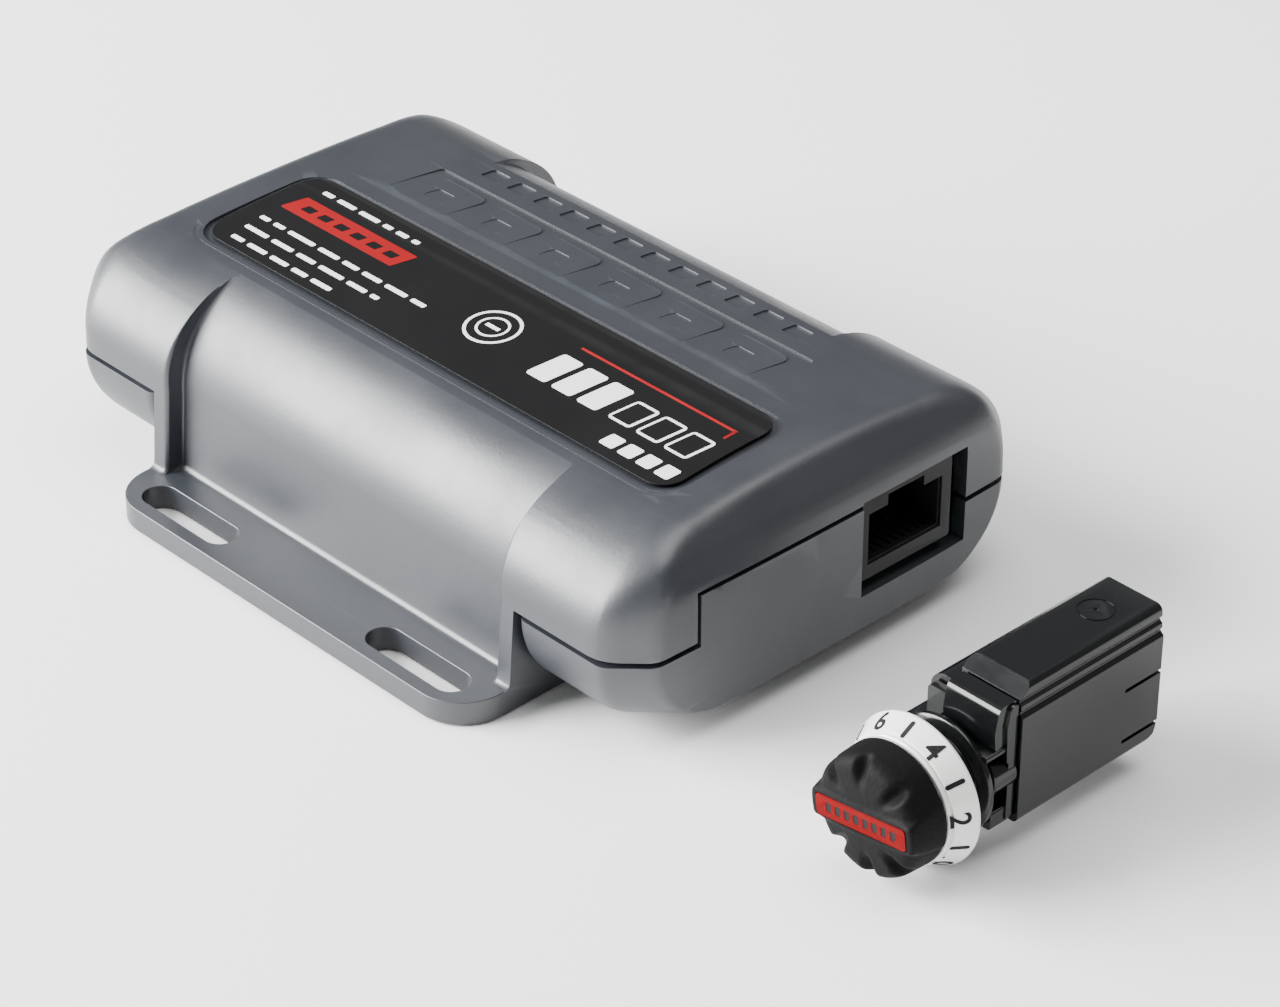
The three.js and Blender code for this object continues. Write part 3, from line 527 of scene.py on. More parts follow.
panel = banded(slanted(-36.1, 34.3, 3.9, 15.6, 0.1, 0.6), -0.4, 2)
places = [i * 11.35 for i in range(6)]
carve(panel, [banded(slanted(-33.6 + x, -24.6 + x, 5.6, 13.9, 0.12, 1.4), -2, 4) for x in places])
carve(panel, [banded(slanted(-30.9 + x, -27.5 + x, 8.4, 11.1, 0.12, 0.5), -0.4, 2) for x in places], "UNION")
carve(upper, [panel])
carve(upper, [banded(slanted(-30.5 + i * 5.2, -27.2 + i * 5.2, 18.2, 20.8, 0.1, 0.4), -0.3, 2)
              for i in range(12)])
rim = banded(oblong(-label_x - 2.3, label_x + 2.3, label_low - 2.3, label_high + 1.9, 5.2), -0.14, 2)
inside_rim = oblong(-label_x - 1.75, label_x + 1.75, label_low - 1.75, label_high + 1.5, 4.8)
carve(rim, [banded(inside_rim, -2, 4)])
carve(upper, [rim])
softened(upper, 0.14)

painted(upper, casing_plastic)
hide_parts("upper_cover")
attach(upper, "main_unit")

# ---------------------------------------------------------------- lower cover
# Tray that closes the casing from below, in the same grained ABS. Its two ends hang clear of the
# mounting surface on a rolled edge, and a tongue at the socket end reaches up into the lid.
ROLL_SIDE, ROLL_Z, END_RAISE, FLOOR, SHELF = 9.3, 13.4, 2.6, 2.4, 35.4
END_FLOOR, RIM = END_RAISE + FLOOR, PARTING - 0.8


def rolled(distance, z):
    return (np.hypot(np.maximum(distance + ROLL_SIDE, 0) / ROLL_SIDE,
                     np.maximum(ROLL_Z - z, 0) / (ROLL_Z - END_RAISE)) - 1) * 10


def lower_field(x, y, z):
    ax, ay = np.abs(x), np.abs(y)
    corner = (ax + ay - HALF_LENGTH - HALF_WIDTH + CHAMFER) / math.sqrt(2)
    roll = smax(rolled(ay - HALF_WIDTH, z), rolled(corner, z), 0.8)
    face = ax - (HALF_LENGTH - BOW * (ay / BOW_HALF) ** 2)
    ends = smax(smax(roll, face, 0.9), END_RAISE - z, 1.2)
    return smax(smax(ends, SHELF - ax, 1.6), z - 24, 0.1)


parts = []
lower_angles = bearings(lower_field, 45.0, (0.0, 9.0), 150)
room_field = lambda x, y, z: lower_field(x, y, z) + WALL
rise = [35.41, 35.45, 35.52, 35.62, 35.75, 35.95, 36.2, 36.5, 37, 38.5, 41, 44, 46, 47.5]
for side in (-1, 1):
    run = [side * v for v in [*rise, *np.arange(48.5, 55.1, 0.3)]]
    end = lofted("lower_end", lower_field, sorted(run), lower_angles, (0.0, 9.0),
                 (34.5, 60) if side > 0 else (-60, -34.5))
    room = lofted("room", room_field, sorted(side * v for v in (38, 42, 46, 48, 50, 51.5, 52.8)),
                  bearings(room_field, 45.0, (0.0, 9.0), 48), (0.0, 9.0),
                  (36, 60) if side > 0 else (-60, -36))
    carve(room, [block(-FAR, FAR, -FAR, FAR, -5, END_FLOOR)])
    doorway = block(*sorted((side * 33, side * 40)), -23, 23, END_FLOOR, 30)
    cuts = [room, doorway, block(-FAR, 52.9, -FAR, FAR, RIM, FAR)]
    if side > 0:
        cuts += [block(52, FAR, -FAR, -23.1, RIM, FAR), block(52, FAR, window[0], FAR, RIM, FAR),
                 block(52, FAR, -FAR, FAR, 20.9, FAR), block(47, 60, *window)]
    else:
        cuts += [block(*grommet_hole)]
    carve(end, cuts)
    parts.append(end)
lower = parts[0]
middle = block(-SHELF - 0.5, SHELF + 0.5, -25.2, 25.2, 0, FLOOR, "tray")
carve(middle, [block(-32.4, 32.4, -30.8, 30.8, 0, FLOOR),
               *[block(s * SHELF - 1.2, s * SHELF + 1.2, -25.2, 25.2, 0, END_FLOOR) for s in (-1, 1)]],
      "UNION")
carve(lower, [middle, parts[1]], "UNION")
carve(lower, [block(*sorted((s * 34, s * 40)), -23, 23, END_FLOOR, 30) for s in (-1, 1)])
post_x, post_y = 38, 17
carve(lower, [rod("z", 4.2, END_RAISE + 1.3, 7.6, sx * SCREW_X, sy * SCREW_Y) for sx, sy in corners],
      "UNION")
carve(lower, [rod("z", 2.6, END_RAISE + 1, 7.6, sx * post_x, sy * post_y, 24) for sx, sy in corners],
      "UNION")
carve(lower, [rod("z", 1.6, -1, 9, sx * SCREW_X, sy * SCREW_Y, 24) for sx, sy in corners])
carve(lower, [rod("z", 2.9, -1, 5.6, sx * SCREW_X, sy * SCREW_Y) for sx, sy in corners])
carve(lower, [rod("z", 1.1, 4, 9, s * post_x, -s * post_y, 16) for s in (-1, 1)])
# shallow pockets in the tray's underside leave a frame of ribs between them
carve(lower, [prism(oblong(x0, x0 + 15.5, y0, y0 + 14.5, 1.5), -1, 0.5)
              for x0 in (-32, -15.5, 1, 17.5) for y0 in (-23.5, -7.25, 9)])
softened(lower, 0.25)
lower.data.name = lower.name = "lower_cover_skin"
painted(lower, casing_plastic)
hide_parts("lower_cover")
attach(lower, "main_unit")

# ---------------------------------------------------------------- label
# A satin black printed film stuck in the lid's shallow recess. The print is plain: bars, dashes,
# a ring and a line stand in for whatever a maker would print.
def film_paint(name, colour, roughness):
    return moulded(name, colour, tuple(min(1, c * 1.6 + 0.01) for c in colour), roughness=roughness,
                   grain=0.006, density=900.0, spread=0.05, tone=0.06, specular=0.22, start=0.6)


label_black = film_paint("label_black", (0.004, 0.004, 0.0045), 0.42)
print_white = film_paint("print_white", (0.80, 0.80, 0.80), 0.4)
print_red = film_paint("print_red", (0.22, 0.002, 0.004), 0.5)
print_top, print_foot = -0.05, -0.16
film = banded(oblong(-label_x, label_x, label_low, label_high, 3.4, 10), -0.35, -0.08)
film = softened(film, 0.04, 1, 50)
film.name = film.data.name = "label_film"
painted(film, label_black)


def framed(x0, x1, y0, y1, stroke, lean=0.0, radius=0.0):
    outer = banded(slanted(x0, x1, y0, y1, lean, radius), print_foot, print_top)
    inner = banded(slanted(x0 + stroke, x1 - stroke, y0 + stroke, y1 - stroke, lean,
                           max(radius - stroke, 0.0)),
                   print_foot - 1, print_top + 1)
    return carve(outer, [inner])


def printed(outline):
    return banded(outline, print_foot, print_top)


def ring_print(x, y, radius, stroke):
    turn = np.arange(48) / 48 * 2 * math.pi
    hoop = printed([(x + radius * math.cos(t), y + radius * math.sin(t)) for t in turn])
    return carve(hoop, [banded([(x + (radius - stroke) * math.cos(t), y + (radius - stroke) * math.sin(t))
                                for t in turn], print_foot - 1, print_top + 1)])


chance = np.random.default_rng(11)
white = []
for start, stop, level, tall in ((-39.6, -20.2, -1.9, 1.3), (-40.8, -6.6, -11.7, 1.2),
                                 (-40.5, -13.6, -14.5, 1.2), (-40, -18.4, -17.2, 1.2)):
    x = start
    while x < stop:
        dash = min(chance.uniform(1.6, 5.4), stop - x)
        if dash > 0.7:
            white.append(printed(slanted(x, x + dash, level, level + tall * 0.62, 0.0, 0.25)))
        x += dash + 0.95
white += [ring_print(2.2, -8.6, 3.9, 0.45), ring_print(2.2, -8.6, 2.3, 0.35),
          printed(slanted(1.0, 3.4, -8.9, -8.3))]
white += [printed(slanted(12.8 + i * 4.6, 16.4 + i * 4.6, -12.8, -6.6, 0.12, 0.5)) for i in range(3)]
white += [framed(27.4 + i * 4.9, 31.4 + i * 4.9, -12.6, -7.6, 0.4, 0.12, 0.6) for i in range(3)]
white += [printed(slanted(30.6 + i * 3.2, 33.0 + i * 3.2, -17.0, -14.6, 0.12, 0.35)) for i in range(4)]
white_print = painted(shaded(join_pieces(white)), print_white)
white_print.name = white_print.data.name = "label_print_white"
red = [carve(printed(slanted(-41.0, -18.6, -7.9, -3.9, 0.25, 0.3)),
             [banded(slanted(-38.4 + i * 3.3, -36.4 + i * 3.3, -6.6, -5.2, 0.25, 0.2), print_foot - 1,
                     print_top + 1)
              for i in range(6)]),
       printed(slanted(14.0, 41.6, -4.4, -4.0)), printed(slanted(41.2, 41.6, -6.2, -4.2))]
red_print = painted(shaded(join_pieces(red)), print_red)
red_print.name = red_print.data.name = "label_print_red"
for piece in (film, white_print, red_print):
    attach(piece, "main_unit")
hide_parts("label_plate")

# ---------------------------------------------------------------- modular socket and its wires
# The eight-way jack is moulded in black nylon and soldered to the board behind the end window.
# Two stops hang in the port's upper corners and gilt spring wires lie in a comb inside.
nylon_black = moulded("nylon_black", (0.005, 0.005, 0.0055), (0.03, 0.03, 0.032), roughness=0.5, grain=0.03,
                      density=1500.0, spread=0.07, specular=0.3)
gilt = moulded("gilt_wire", (0.75, 0.52, 0.20), (0.85, 0.68, 0.38), roughness=0.28, grain=0.004,
               density=3000.0, metallic=1.0, tone=0.1, spread=0.05)


def jack(name, y0, y1, z0, z1, face, depth, port, latch, deep):
    # a jack body with its mouth towards +X: port and latch are (y0, y1, z0, z1)
    shell = prism(oblong(y0, y1, z0, z1, 0.5, 4), face - depth, face, "x", name)
    mouth = block(face - deep, face + 1, *port)
    slot_cut = block(face - deep, face + 1, latch[0], latch[1], port[3] - 1, latch[3])
    rails = [block(face - deep, face - 1.2, y, y + 0.35, port[2] - 0.35, port[2] + 0.1)
             for y in np.linspace(port[0] + 0.9, port[1] - 1.25, 9)]
    lead = prism([(port[0] - 0.3, port[2] - 0.3), (port[1] + 0.3, port[2] - 0.3), (port[1] + 0.3, port[3]),
                  (port[0] - 0.3, port[3])], face - 0.35, face + 1, "x")
    carve(shell, [mouth, slot_cut, *rails, lead])
    return softened(shell, 0.12, 2, 40)


jack_box = jack("socket_shell", 4.6, 20.5, 9.8, 21.5, 54.6, 16, (6.1, 18.5, 12.1, 19.2),
                (9.1, 15.5, 0, 20.7), 13)
painted(jack_box, nylon_black)
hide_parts("socket_housing")
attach(jack_box, "main_unit")


def wire_tree(name, count, pitch, reach, rise, paint):
    # one straight, sloping spring wire is swept along its path and repeated across the comb
    tree = bpy.data.node_groups.new(name, "GeometryNodeTree")
    tree.is_modifier = True
    sockets = {}
    for label, kind, value in (("Count", "NodeSocketInt", count), ("Pitch", "NodeSocketFloat", pitch * MM),
                               ("Reach", "NodeSocketFloat", reach * MM),
                               ("Rise", "NodeSocketFloat", rise * MM),
                               ("Gauge", "NodeSocketFloat", 0.17 * MM)):
        socket = tree.interface.new_socket(label, in_out="INPUT", socket_type=kind)
        socket.default_value = value
        sockets[label] = socket.identifier
    tree.interface.new_socket("Geometry", in_out="OUTPUT", socket_type="NodeSocketGeometry")
    give, take = tree.nodes.new("NodeGroupInput"), tree.nodes.new("NodeGroupOutput")
    far = node(tree, "ShaderNodeCombineXYZ", {"X": give.outputs["Reach"], "Z": maths(tree, "MULTIPLY",
               give.outputs["Rise"], -1.0)}).outputs[0]
    path = node(tree, "GeometryNodeCurvePrimitiveLine", {"End": far}).outputs["Curve"]
    section = node(tree, "GeometryNodeCurvePrimitiveCircle",
                   {"Resolution": 8, "Radius": give.outputs["Gauge"]})
    sweep = node(tree, "GeometryNodeCurveToMesh", {"Curve": path, "Profile Curve": section.outputs["Curve"],
                 "Fill Caps": True})
    step = node(tree, "ShaderNodeCombineXYZ", {"Y": give.outputs["Pitch"]}).outputs[0]
    row = node(tree, "GeometryNodeMeshLine", {"Count": give.outputs["Count"], "Offset": step})
    many = node(tree, "GeometryNodeInstanceOnPoints", {"Points": row.outputs["Mesh"],
                                                       "Instance": sweep.outputs["Mesh"]})
    real = node(tree, "GeometryNodeRealizeInstances", {0: many.outputs["Instances"]})
    dressed = node(tree, "GeometryNodeSetMaterial", {"Geometry": real.outputs[0], "Material": paint})
    tree.links.new(dressed.outputs["Geometry"], take.inputs[0])
    return tree, sockets


def comb(name, count, pitch, rear, reach, first, floor, rise):
    # the sprung wires and their carrier strip, for a mouth that faces +X
    tree, sockets = wire_tree(name + "_tree", count, pitch, reach, rise, gilt)
    host = link(name, bpy.data.meshes.new(name))
    step = host.modifiers.new("wires", "NODES")
    step.node_group = tree
    step[sockets["Gauge"]] = 0.16 * MM
    applied(host)
    host.data.transform(Matrix.Translation(Vector((rear + 0.05, first, floor + rise + 0.2)) * MM))
    middle = first + pitch * (count - 1) / 2
    strip = block(rear, rear + 0.5, middle - count * pitch / 2, middle + count * pitch / 2, floor,
                  floor + 1.5)
    painted(strip, gilt)
    whole = join_pieces([host, strip])
    whole.name = whole.data.name = name
    return painted(shaded(whole), gilt)


wires = comb("socket_wires", 8, 1.2, 41.9, 8, 8.1, 12.4, 1.05)
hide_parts("socket_contacts")
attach(wires, "main_unit")

# ---------------------------------------------------------------- board, parts and screws inside
# Populated FR-4 board on four posts, power transistors clamped to a finned aluminium bar, and
# plated pan-head screws. They keep their modelled shapes and get their own finishes.
solder_mask = moulded("solder_mask", (0.012, 0.075, 0.028), (0.05, 0.20, 0.08), roughness=0.3, grain=0.02,
                      density=700.0, tone=0.2)
epoxy = moulded("chip_epoxy", (0.018, 0.018, 0.019), (0.07, 0.07, 0.07), roughness=0.6, grain=0.02)
brushed = moulded("brushed_aluminium", (0.62, 0.63, 0.65), (0.85, 0.85, 0.86), roughness=0.36, grain=0.01,
                  density=1200.0, metallic=1.0, tone=0.08)
zinc = moulded("zinc_plate", (0.55, 0.56, 0.58), (0.8, 0.8, 0.8), roughness=0.3, grain=0.006,
               density=1600.0, metallic=1.0, tone=0.15)
rubber = moulded("grommet_rubber", (0.015, 0.015, 0.015), (0.05, 0.05, 0.05), roughness=0.78, grain=0.03,
                 density=1400.0)
finishes = {"circuit_board": solder_mask, "head_board": solder_mask, "heat_spreader": brushed,
            "controller_chip": epoxy, "motion_sensor": epoxy, "power_terminal": nylon_black,
            "rotary_control": zinc, "push_switch": nylon_black, "return_spring": zinc,
            "push_sleeve": nylon_black, "knob_shaft": zinc, "board_screw_1": zinc, "board_screw_2": zinc}
finishes.update({f"transistor_{i}": epoxy for i in (1, 2, 3, 4)})
finishes.update({f"capacitor_{i}": brushed for i in (1, 2, 3)})
for name, paint in finishes.items():
    painted(bpy.data.objects[name], paint)

# ---------------------------------------------------------------- cover screws
# Four zinc plated pan-head screws driven from below into the upper cover's bosses. Each is
# turned with its thread, and a cross recess is cut in the head.
def turned(name, profile, sides=64, at=(0.0, 0.0, 0.0), axis="z"):
    # a closed turned body from (radius, height) points that run from axis to axis
    points, faces, rows = [], [], []
    for radius, level in profile:
        if radius < 1e-6:
            rows.append([len(points)] * sides)
            points.append((0.0, 0.0, level))
        else:
            rows.append(list(range(len(points), len(points) + sides)))
            points += [(radius * math.cos(2 * math.pi * i / sides),
                        radius * math.sin(2 * math.pi * i / sides), level)
                       for i in range(sides)]
    for low, high in zip(rows, rows[1:]):
        for i in range(sides):
            ring = (low[i], low[(i + 1) % sides], high[(i + 1) % sides], high[i])
            ring = tuple(dict.fromkeys(ring))
            if len(ring) > 2:
                faces.append(ring)
    points = np.array(points)
    if axis == "y":
        points = points[:, [0, 2, 1]]
    return closed(name, points + np.array(at), faces)


for index in range(4):
    low, high = (np.array(side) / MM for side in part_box(f"cover_screw_{index + 1}"))
    mid = (low + high) / 2
    foot = low[2]
    screw = turned("screw", [(0, foot), (1.7, foot), (2.3, foot + 0.35), (2.6, foot + 0.95),
                             (2.6, foot + 1.7), (2.45, foot + 1.9), (1.2, foot + 1.9), (1.2, 5.8),
                             *[(1.2 - 0.22 * (i % 2), 5.9 + i * 0.35) for i in range(22)],
                             (0.7, 13.8), (0, 13.98)], 28)
    carve(screw, [prism(slanted(-1.5, 1.5, -0.32, 0.32), foot - 1, foot + 0.9),
                  prism(slanted(-0.32, 0.32, -1.5, 1.5), foot - 1, foot + 0.9)])
    screw.data.transform(Matrix.Translation((mid[0] * MM, mid[1] * MM, 0)))
    softened(screw, 0.05, 1, 40)
    screw.name = screw.data.name = f"cover_screw_{index + 1}_thread"
    painted(screw, zinc)
    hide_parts(f"cover_screw_{index + 1}")
    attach(screw, "main_unit")

# ---------------------------------------------------------------- harness grommet
# A black rubber block clamped between the covers, with a soft outer lip and five wire holes.
grommet = prism(oblong(-10.8, 10.8, 7.4, 20.6, 2.2, 8), -56.6, -55.6, "x", "grommet_lip")
carve(grommet, [prism(oblong(-9.3, 9.3, 8.9, 19.1, 1.2, 6), -56.4, -51.3, "x"),
                prism(oblong(-10.8, 10.8, 10.1, 20.2, 1.5, 6), -52.4, -50.9, "x")], "UNION")
carve(grommet, [rod("x", 1.5, -58, -47, -7 + i * 3.5, 14 + (2.2 if i % 2 else -1.6), 28) for i in range(5)])
softened(grommet, 0.3, 3, 35)
painted(grommet, rubber)
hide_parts("harness_grommet")
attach(grommet, "main_unit")

# ---------------------------------------------------------------- remote head: housing
# Gloss black ABS box that clips behind the panel. Its ridge has fluted flanks and a sloped front,
# the sides end in latch fingers between two slits, and an ejector mark shows on top.
turning = next(joint for joint in frame["joints"] if joint["name"] == "knob_turn")
head_at = Vector(turning["pos_m"])
gloss_black = moulded("gloss_black", (0.004, 0.0045, 0.005), (0.02, 0.021, 0.022), roughness=0.17,
                      grain=0.012, density=420.0, spread=0.05, tone=0.05, specular=0.42, start=0.55)


def seated(piece, name, paint, turn=None):
    # moves a piece drawn around the dial's axis to the remote head
    if turn is not None:
        piece.data.transform(turn)
    piece.data.transform(Matrix.Translation(head_at))
    piece.name = piece.data.name = name
    return painted(piece, paint)


def shell_outline(inside):
    if inside:
        return soft_corners([(-5.9, -5.0), (5.9, -5.0), (5.9, 8.0), (5.4, 8.8), (5.4, 11.4), (-1.2, 11.4),
                             (-1.2, 7.4), (-5.9, 7.4)], [0.6, 0.6, 0.2, 0.2, 0.5, 0.5, 0.3, 0.5], 4)
    return soft_corners([(-7.1, -6.2), (7.1, -6.2), (7.1, 8.55), (6.5, 9.1), (6.8, 9.55), (6.75, 10.15),
                         (6.3, 10.55), (6.65, 11.1), (6.65, 12.6), (-2.4, 12.6), (-2.4, 8.6), (-7.1, 8.6)],
                        [0.8, 0.8, 0.5, 0.25, 0.22, 0.3, 0.2, 0.3, 0.95, 1.0, 0.4, 2.2], 6)


front, rear = 9.3, 33.8
shell = prism(shell_outline(False), front, rear, "y", "head_shell")
hollow = prism(shell_outline(True), front - 1, rear + 1, "y")
carve(hollow, [block(-9, 9, front - 2, front + 2.6, 8.7, 14)])
slits = []
for side in (-1, 1):
    for level in (3.6, -3.7):
        slits.append(prism(oblong(rear - 6.4, rear + 3, level - 0.26, level + 0.26, 0.25, 5),
                           *sorted((side * 5, side * 8)),
                          "x"))
heel = [(rear + 1, -7.2), (rear + 1, -3.8), (rear - 0.1, -3.9), (rear - 0.5, -5.2), (rear - 2.4, -6.25),
        (rear - 2.4, -7.2)]
slope = [(front - 1, 13.6), (front - 1, 11.0), (front, 11.0), (front + 1.9, 12.6), (front + 1.9, 13.6)]
mark = rod("z", 2.35, 12.52, 13, 1.9, 27.4, 48)
carve(mark, [rod("z", 2.1, 12, 13.5, 1.9, 27.4, 48)])
late_cuts = [prism(heel, -9, 9, "x"), prism(slope, -9, 9, "x"), mark,
             rod("z", 0.32, 12.5, 13, 1.9, 27.4, 20), *slits]
softened(carve(shell, [hollow, *late_cuts[:2]]), 0.16, 3, 30)
shaded(carve(shell, late_cuts[2:]), 30)
seated(shell, "head_shell", gloss_black)
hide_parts("head_housing")
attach(shell, "remote_head")

# ---------------------------------------------------------------- remote head: carrier
# Front bracket and ribbed neck in the same gloss black. The neck passes the panel hole, the
# stepped block and the side posts guide the housing, and struts stiffen the web.
web = prism(oblong(-6.2, 6.6, -5.4, 7.6, 0.6, 5), 7.8, 9.0, "y", "head_bracket")
step_outline = soft_corners([(9.0, 6.0), (9.0, 11.0), (6.2, 11.0), (5.6, 7.6), (5.9, 5.2)],
                            [0, 0.15, 1.1, 1.4, 0.3], 8)
cheek_outline = soft_corners([(9.0, 3.0), (9.0, 10.6), (7.9, 10.6), (7.3, 8.0), (7.5, 3.0)],
                             [0, 0.2, 0.7, 0.8, 0.2], 6)
stepped = prism(step_outline, -1.8, 6.2, "x")
cheek = prism(cheek_outline, 5.9, 6.6, "x")
neck = turned("neck", [(0, 0.7), (6.1, 0.7), (6.4, 1.0), (6.4, 1.5), (6.1, 1.7), (6.1, 1.95),
                       (6.4, 2.15), (6.4, 2.7), (6.15, 2.9), (6.15, 3.1), (6.75, 3.35), (7.25, 3.6),
                       (7.6, 3.8), (7.6, 4.4), (7.4, 4.6), (5.8, 4.7), (5.8, 9.0), (0, 9.0)],
              88, axis="y")
adds = [stepped, cheek, neck]
for side in (-1, 1):
    adds += [turned("post", [(0, 5.4), (2.2, 5.4), (2.5, 5.65), (2.5, 9.0), (0, 9.0)], 40,
                    (side * 4.4, 0, 0.9), "y"),
             prism(oblong(*sorted((side * 4.6, side * 6.4)), -5.6, -3.3, 0.3, 4), 5.4, 9.0, "y"),
             prism(oblong(*sorted((side * 3.0, side * 6.4)), 4.4, 5.2, 0.3, 4), 4.2, 9.0, "y")]
carve(web, adds, "UNION")
carve(web, [rod("y", 3.9, -1, 20, 0, 0, 48)])
softened(web, 0.12, 2, 30)
seated(web, "head_bracket", gloss_black)
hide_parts("head_carrier")
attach(web, "remote_head")

quarter = Matrix.Rotation(math.radians(90), 4, "Z")
plug_box = jack("head_jack", -5.6, 5.6, -3.3, 7.1, 33.4, 13, (-4.85, 4.85, -1.4, 5.1), (-3.1, 3.1, 0, 6.5),
                10.8)
seated(plug_box, "head_jack", nylon_black, quarter)
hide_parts("head_socket")
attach(plug_box, "remote_head")
plug_wires = comb("head_wires", 6, 1.05, 22.9, 7.5, -2.625, -1.1, 1.05)
seated(plug_wires, "head_wires", gilt, quarter)
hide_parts("head_contacts")
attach(plug_wires, "remote_head")

# ---------------------------------------------------------------- dial ring
# A polished ring of clear acrylic, painted white behind, with a bright step next to the knob.
# Even figures and the ticks between them are printed on the cone and turn with the knob.
ring_front, ring_rear = (8.1, -3.5), (9.7, -0.35)
ring = turned("dial_cone", [(0, -3.5), (7.95, -3.5), (8.1, -3.35), (8.12, -3.1), (8.0, -3.02),
                            (8.0, -2.92), (8.34, -2.88), (8.44, -2.78), (9.62, -0.45), (9.69, -0.3),
                            (9.66, -0.04), (9.55, 0), (0, 0)],
              144, axis="y")
carve(ring, [turned("hollow", [(0, -2.9), (7.5, -2.9), (9.1, 0.2), (0, 0.2)], 96, axis="y"),
             rod("y", 6.4, -5, 1, 0, 0, 72)])
shaded(ring, 25)
dial_white = moulded("dial_white", (0.80, 0.80, 0.78), (0.92, 0.92, 0.9), roughness=0.2, grain=0.01,
                     density=500.0, tone=0.07, specular=0.6, coat=0.6, start=0.58)
seated(ring, "dial_cone", dial_white)
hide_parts("dial_ring")
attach(ring, "knob")

print_dark = film_paint("print_dark", (0.005, 0.005, 0.0055), 0.7)
slant = math.hypot(ring_rear[0] - ring_front[0], ring_rear[1] - ring_front[1])
step_angle, zero_angle = math.radians(28), math.radians(-48)


def wrapped(mesh, angle):
    # bends a flat drawing round the cone: across runs clockwise, up runs from the knob outwards
    shape = bmesh.new()
    shape.from_mesh(mesh)
    for cut in np.arange(-1.6, 1.7, 0.2):
        bmesh.ops.bisect_plane(shape, geom=shape.verts[:] + shape.edges[:] + shape.faces[:],
                               plane_co=(cut * MM, 0, 0), plane_no=(1, 0, 0))
    for vertex in shape.verts:
        across, up, above = vertex.co / MM
        share = 0.5 + up / slant
        radius = ring_front[0] + share * (ring_rear[0] - ring_front[0]) + above * 0.9
        level = ring_front[1] + share * (ring_rear[1] - ring_front[1]) - above * 0.45
        turn = angle - across / radius
        vertex.co = Vector((radius * math.cos(turn), level, radius * math.sin(turn))) * MM
    bmesh.ops.recalc_face_normals(shape, faces=shape.faces)
    if shape.calc_volume(signed=True) < 0:
        bmesh.ops.reverse_faces(shape, faces=shape.faces)
    shape.to_mesh(mesh)
    shape.free()
    return mesh


def figure(text, size):
    curve = bpy.data.curves.new("figure", "FONT")
    curve.body, curve.size, curve.extrude = text, size * MM, 0.02 * MM
    curve.align_x, curve.align_y = "CENTER", "CENTER"
    curve.offset = 0.07 * MM
    flat = link("figure", curve)
    mesh = bpy.data.meshes.new_from_object(flat.evaluated_get(bpy.context.evaluated_depsgraph_get()))
    discard(flat)
    middle = sum((v.co for v in mesh.vertices), Vector()) / len(mesh.vertices)
    mesh.transform(Matrix.Translation((-middle.x, -middle.y, 0.005 * MM)))
    return mesh


marks = []
for value in range(0, 11):
    angle = zero_angle + value * step_angle
    if value % 2:
        tick = prism(oblong(-0.29, 0.29, -1.25, 1.25, 0.28, 5), -0.015, 0.025)
        mesh = tick.data.copy()
        discard(tick)
    else:
        mesh = figure(str(value), 3.6 if value < 10 else 2.9)
    marks.append(link("mark", wrapped(mesh, angle)))
spot = rod("z", 0.18, -0.015, 0.025, 0, -1.15, 16)
marks.append(link("spot", wrapped(spot.data.copy(), math.radians(-34))))
discard(spot)
numbers = join_pieces(marks)
seated(shaded(numbers), "dial_figures", print_dark)
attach(numbers, "knob")

# ---------------------------------------------------------------- knob
# Matt black grip with a leather grain: a domed body, a bar across its face and three finger
# hollows on either side. It is pressed on the shaft, and a red plate is glued in the bar.
REST = math.radians(8)
upright = Matrix.Rotation(-REST, 4, "Y")


def knob_field(x, y, z):
    forward, radius = -y, np.hypot(x, z)
    side = radius - (8.0 - 0.05 * (forward - 3.8))
    dome = smax(side, forward - (9.5 - 0.009 * radius ** 2), 1.7)
    flank = np.abs(z) - (1.72 + 0.22 * (9.6 - forward))
    bar = smax(smax(flank, forward - 9.5, 0.35), radius - 7.98, 0.5)
    body = smin(dome, bar, 0.7)
    for degrees in (44, 90, 136, 226, 270, 314):
        turn = math.radians(degrees)
        along = x * math.cos(turn) + z * math.sin(turn)
        across = -x * math.sin(turn) + z * math.cos(turn)
        tilt = 0.45
        out = (along - 7.3) * math.cos(tilt) - (forward - 9.3) * math.sin(tilt)
        deep = (along - 7.3) * math.sin(tilt) + (forward - 9.3) * math.cos(tilt)
        hollow = (np.sqrt((out / 3.3) ** 2 + (across / 1.0) ** 2 + (deep / 1.8) ** 2) - 1) * 1.1
        body = smax(body, -hollow, 0.5)
    return smax(body, 3.8 - forward, 0.35)


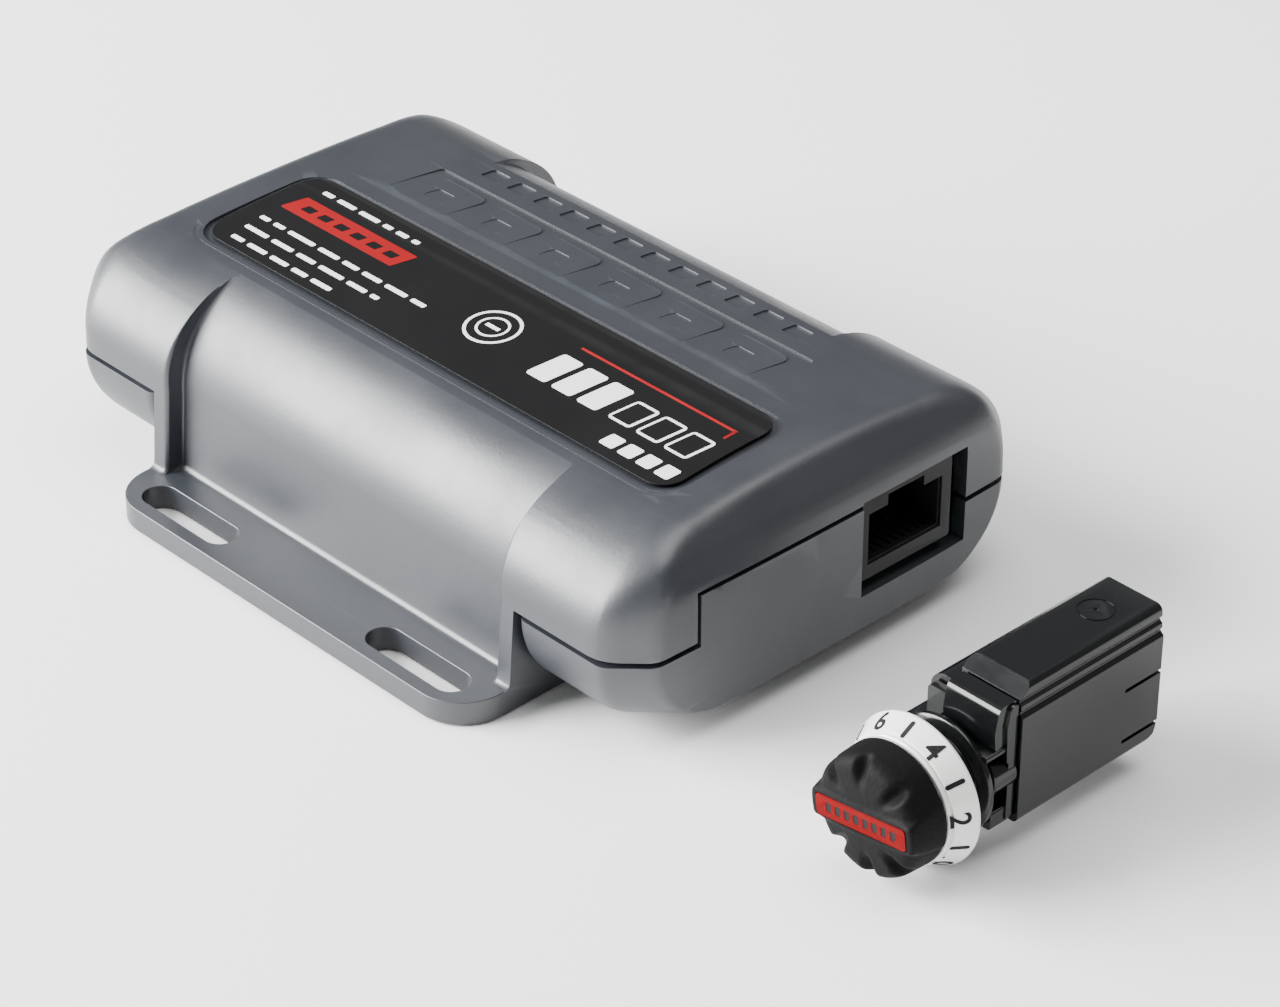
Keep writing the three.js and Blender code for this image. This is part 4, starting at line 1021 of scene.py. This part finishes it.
def ball_skin(name, field, centre, rows, columns):
    # a closed skin around a solid that every ray from one point leaves once
    tilt = np.linspace(0, math.pi, rows + 1)[1:-1, None]
    turn = np.linspace(0, 2 * math.pi, columns, endpoint=False)[None, :]
    rays = np.stack([np.sin(tilt) * np.cos(turn),
                     -np.cos(tilt) + 0 * turn,
                     np.sin(tilt) * np.sin(turn)], -1)
    start = np.array(centre) + 0 * rays
    points = solve(field, start, start + rays * 25).reshape(-1, 3)
    poles = [solve(field, np.array(centre), np.array(centre) + np.array(d) * 25)
             for d in ((0, -1.0, 0), (0, 1.0, 0))]
    count = len(points)
    faces = [(r * columns + i, r * columns + (i + 1) % columns, (r + 1) * columns + (i + 1) % columns,
              (r + 1) * columns + i) for r in range(rows - 2) for i in range(columns)]
    faces += [(count, (i + 1) % columns, i) for i in range(columns)]
    tail = (rows - 2) * columns
    faces += [(count + 1, tail + i, tail + (i + 1) % columns) for i in range(columns)]
    return closed(name, np.concatenate([points, np.array(poles)]), faces)


grip = ball_skin("knob_grip", knob_field, (0.0, -5.6, 0.0), 150, 220)
carve(grip, [rod("y", 3.3, -4.2, -0.9, 0, 0, 40)], "UNION")
carve(grip, [prism(oblong(-7.08, 7.08, -1.48, 1.48, 0.5, 6), -12, -8.95, "y"),
             rod("y", 1.9, -6.5, 1, 0, 0, 32)])
shape = bmesh.new()
shape.from_mesh(grip.data)
bmesh.ops.remove_doubles(shape, verts=shape.verts, dist=2e-6)
shape.to_mesh(grip.data)
shape.free()
shaded(grip, 38)
knob_grip = moulded("knob_grip", (0.0035, 0.0035, 0.0038), (0.014, 0.014, 0.015), roughness=0.66, grain=0.3,
                    density=1500.0, spread=0.08, tone=0.15, specular=0.1, start=0.6)
seated(grip, "knob_grip", knob_grip, upright)
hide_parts("knob_body")
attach(grip, "knob")

plate = prism(oblong(-7.0, 7.0, -1.4, 1.4, 0.5, 6), -9.6, -9.0, "y", "knob_badge")
carve(plate, [prism(oblong(-5.4 + i * 1.44, -4.6 + i * 1.44, -0.62, 0.62, 0.2, 4), -10, -9.52, "y")
              for i in range(8)])
softened(plate, 0.06, 2, 35)
plate_red = moulded("plate_red", (0.11, 0.0003, 0.0008), (0.16, 0.003, 0.004), roughness=0.6, grain=0.03,
                    density=1500.0, tone=0.1, specular=0.06)
seated(plate, "knob_badge", plate_red, upright)
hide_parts("knob_plate")
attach(plate, "knob")
ink = join_pieces([prism(oblong(-5.38 + i * 1.44, -4.62 + i * 1.44, -0.6, 0.6, 0.2, 4), -9.56, -9.5, "y")
                   for i in range(8)])
seated(ink, "knob_badge_ink", print_dark, upright)
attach(ink, "knob")
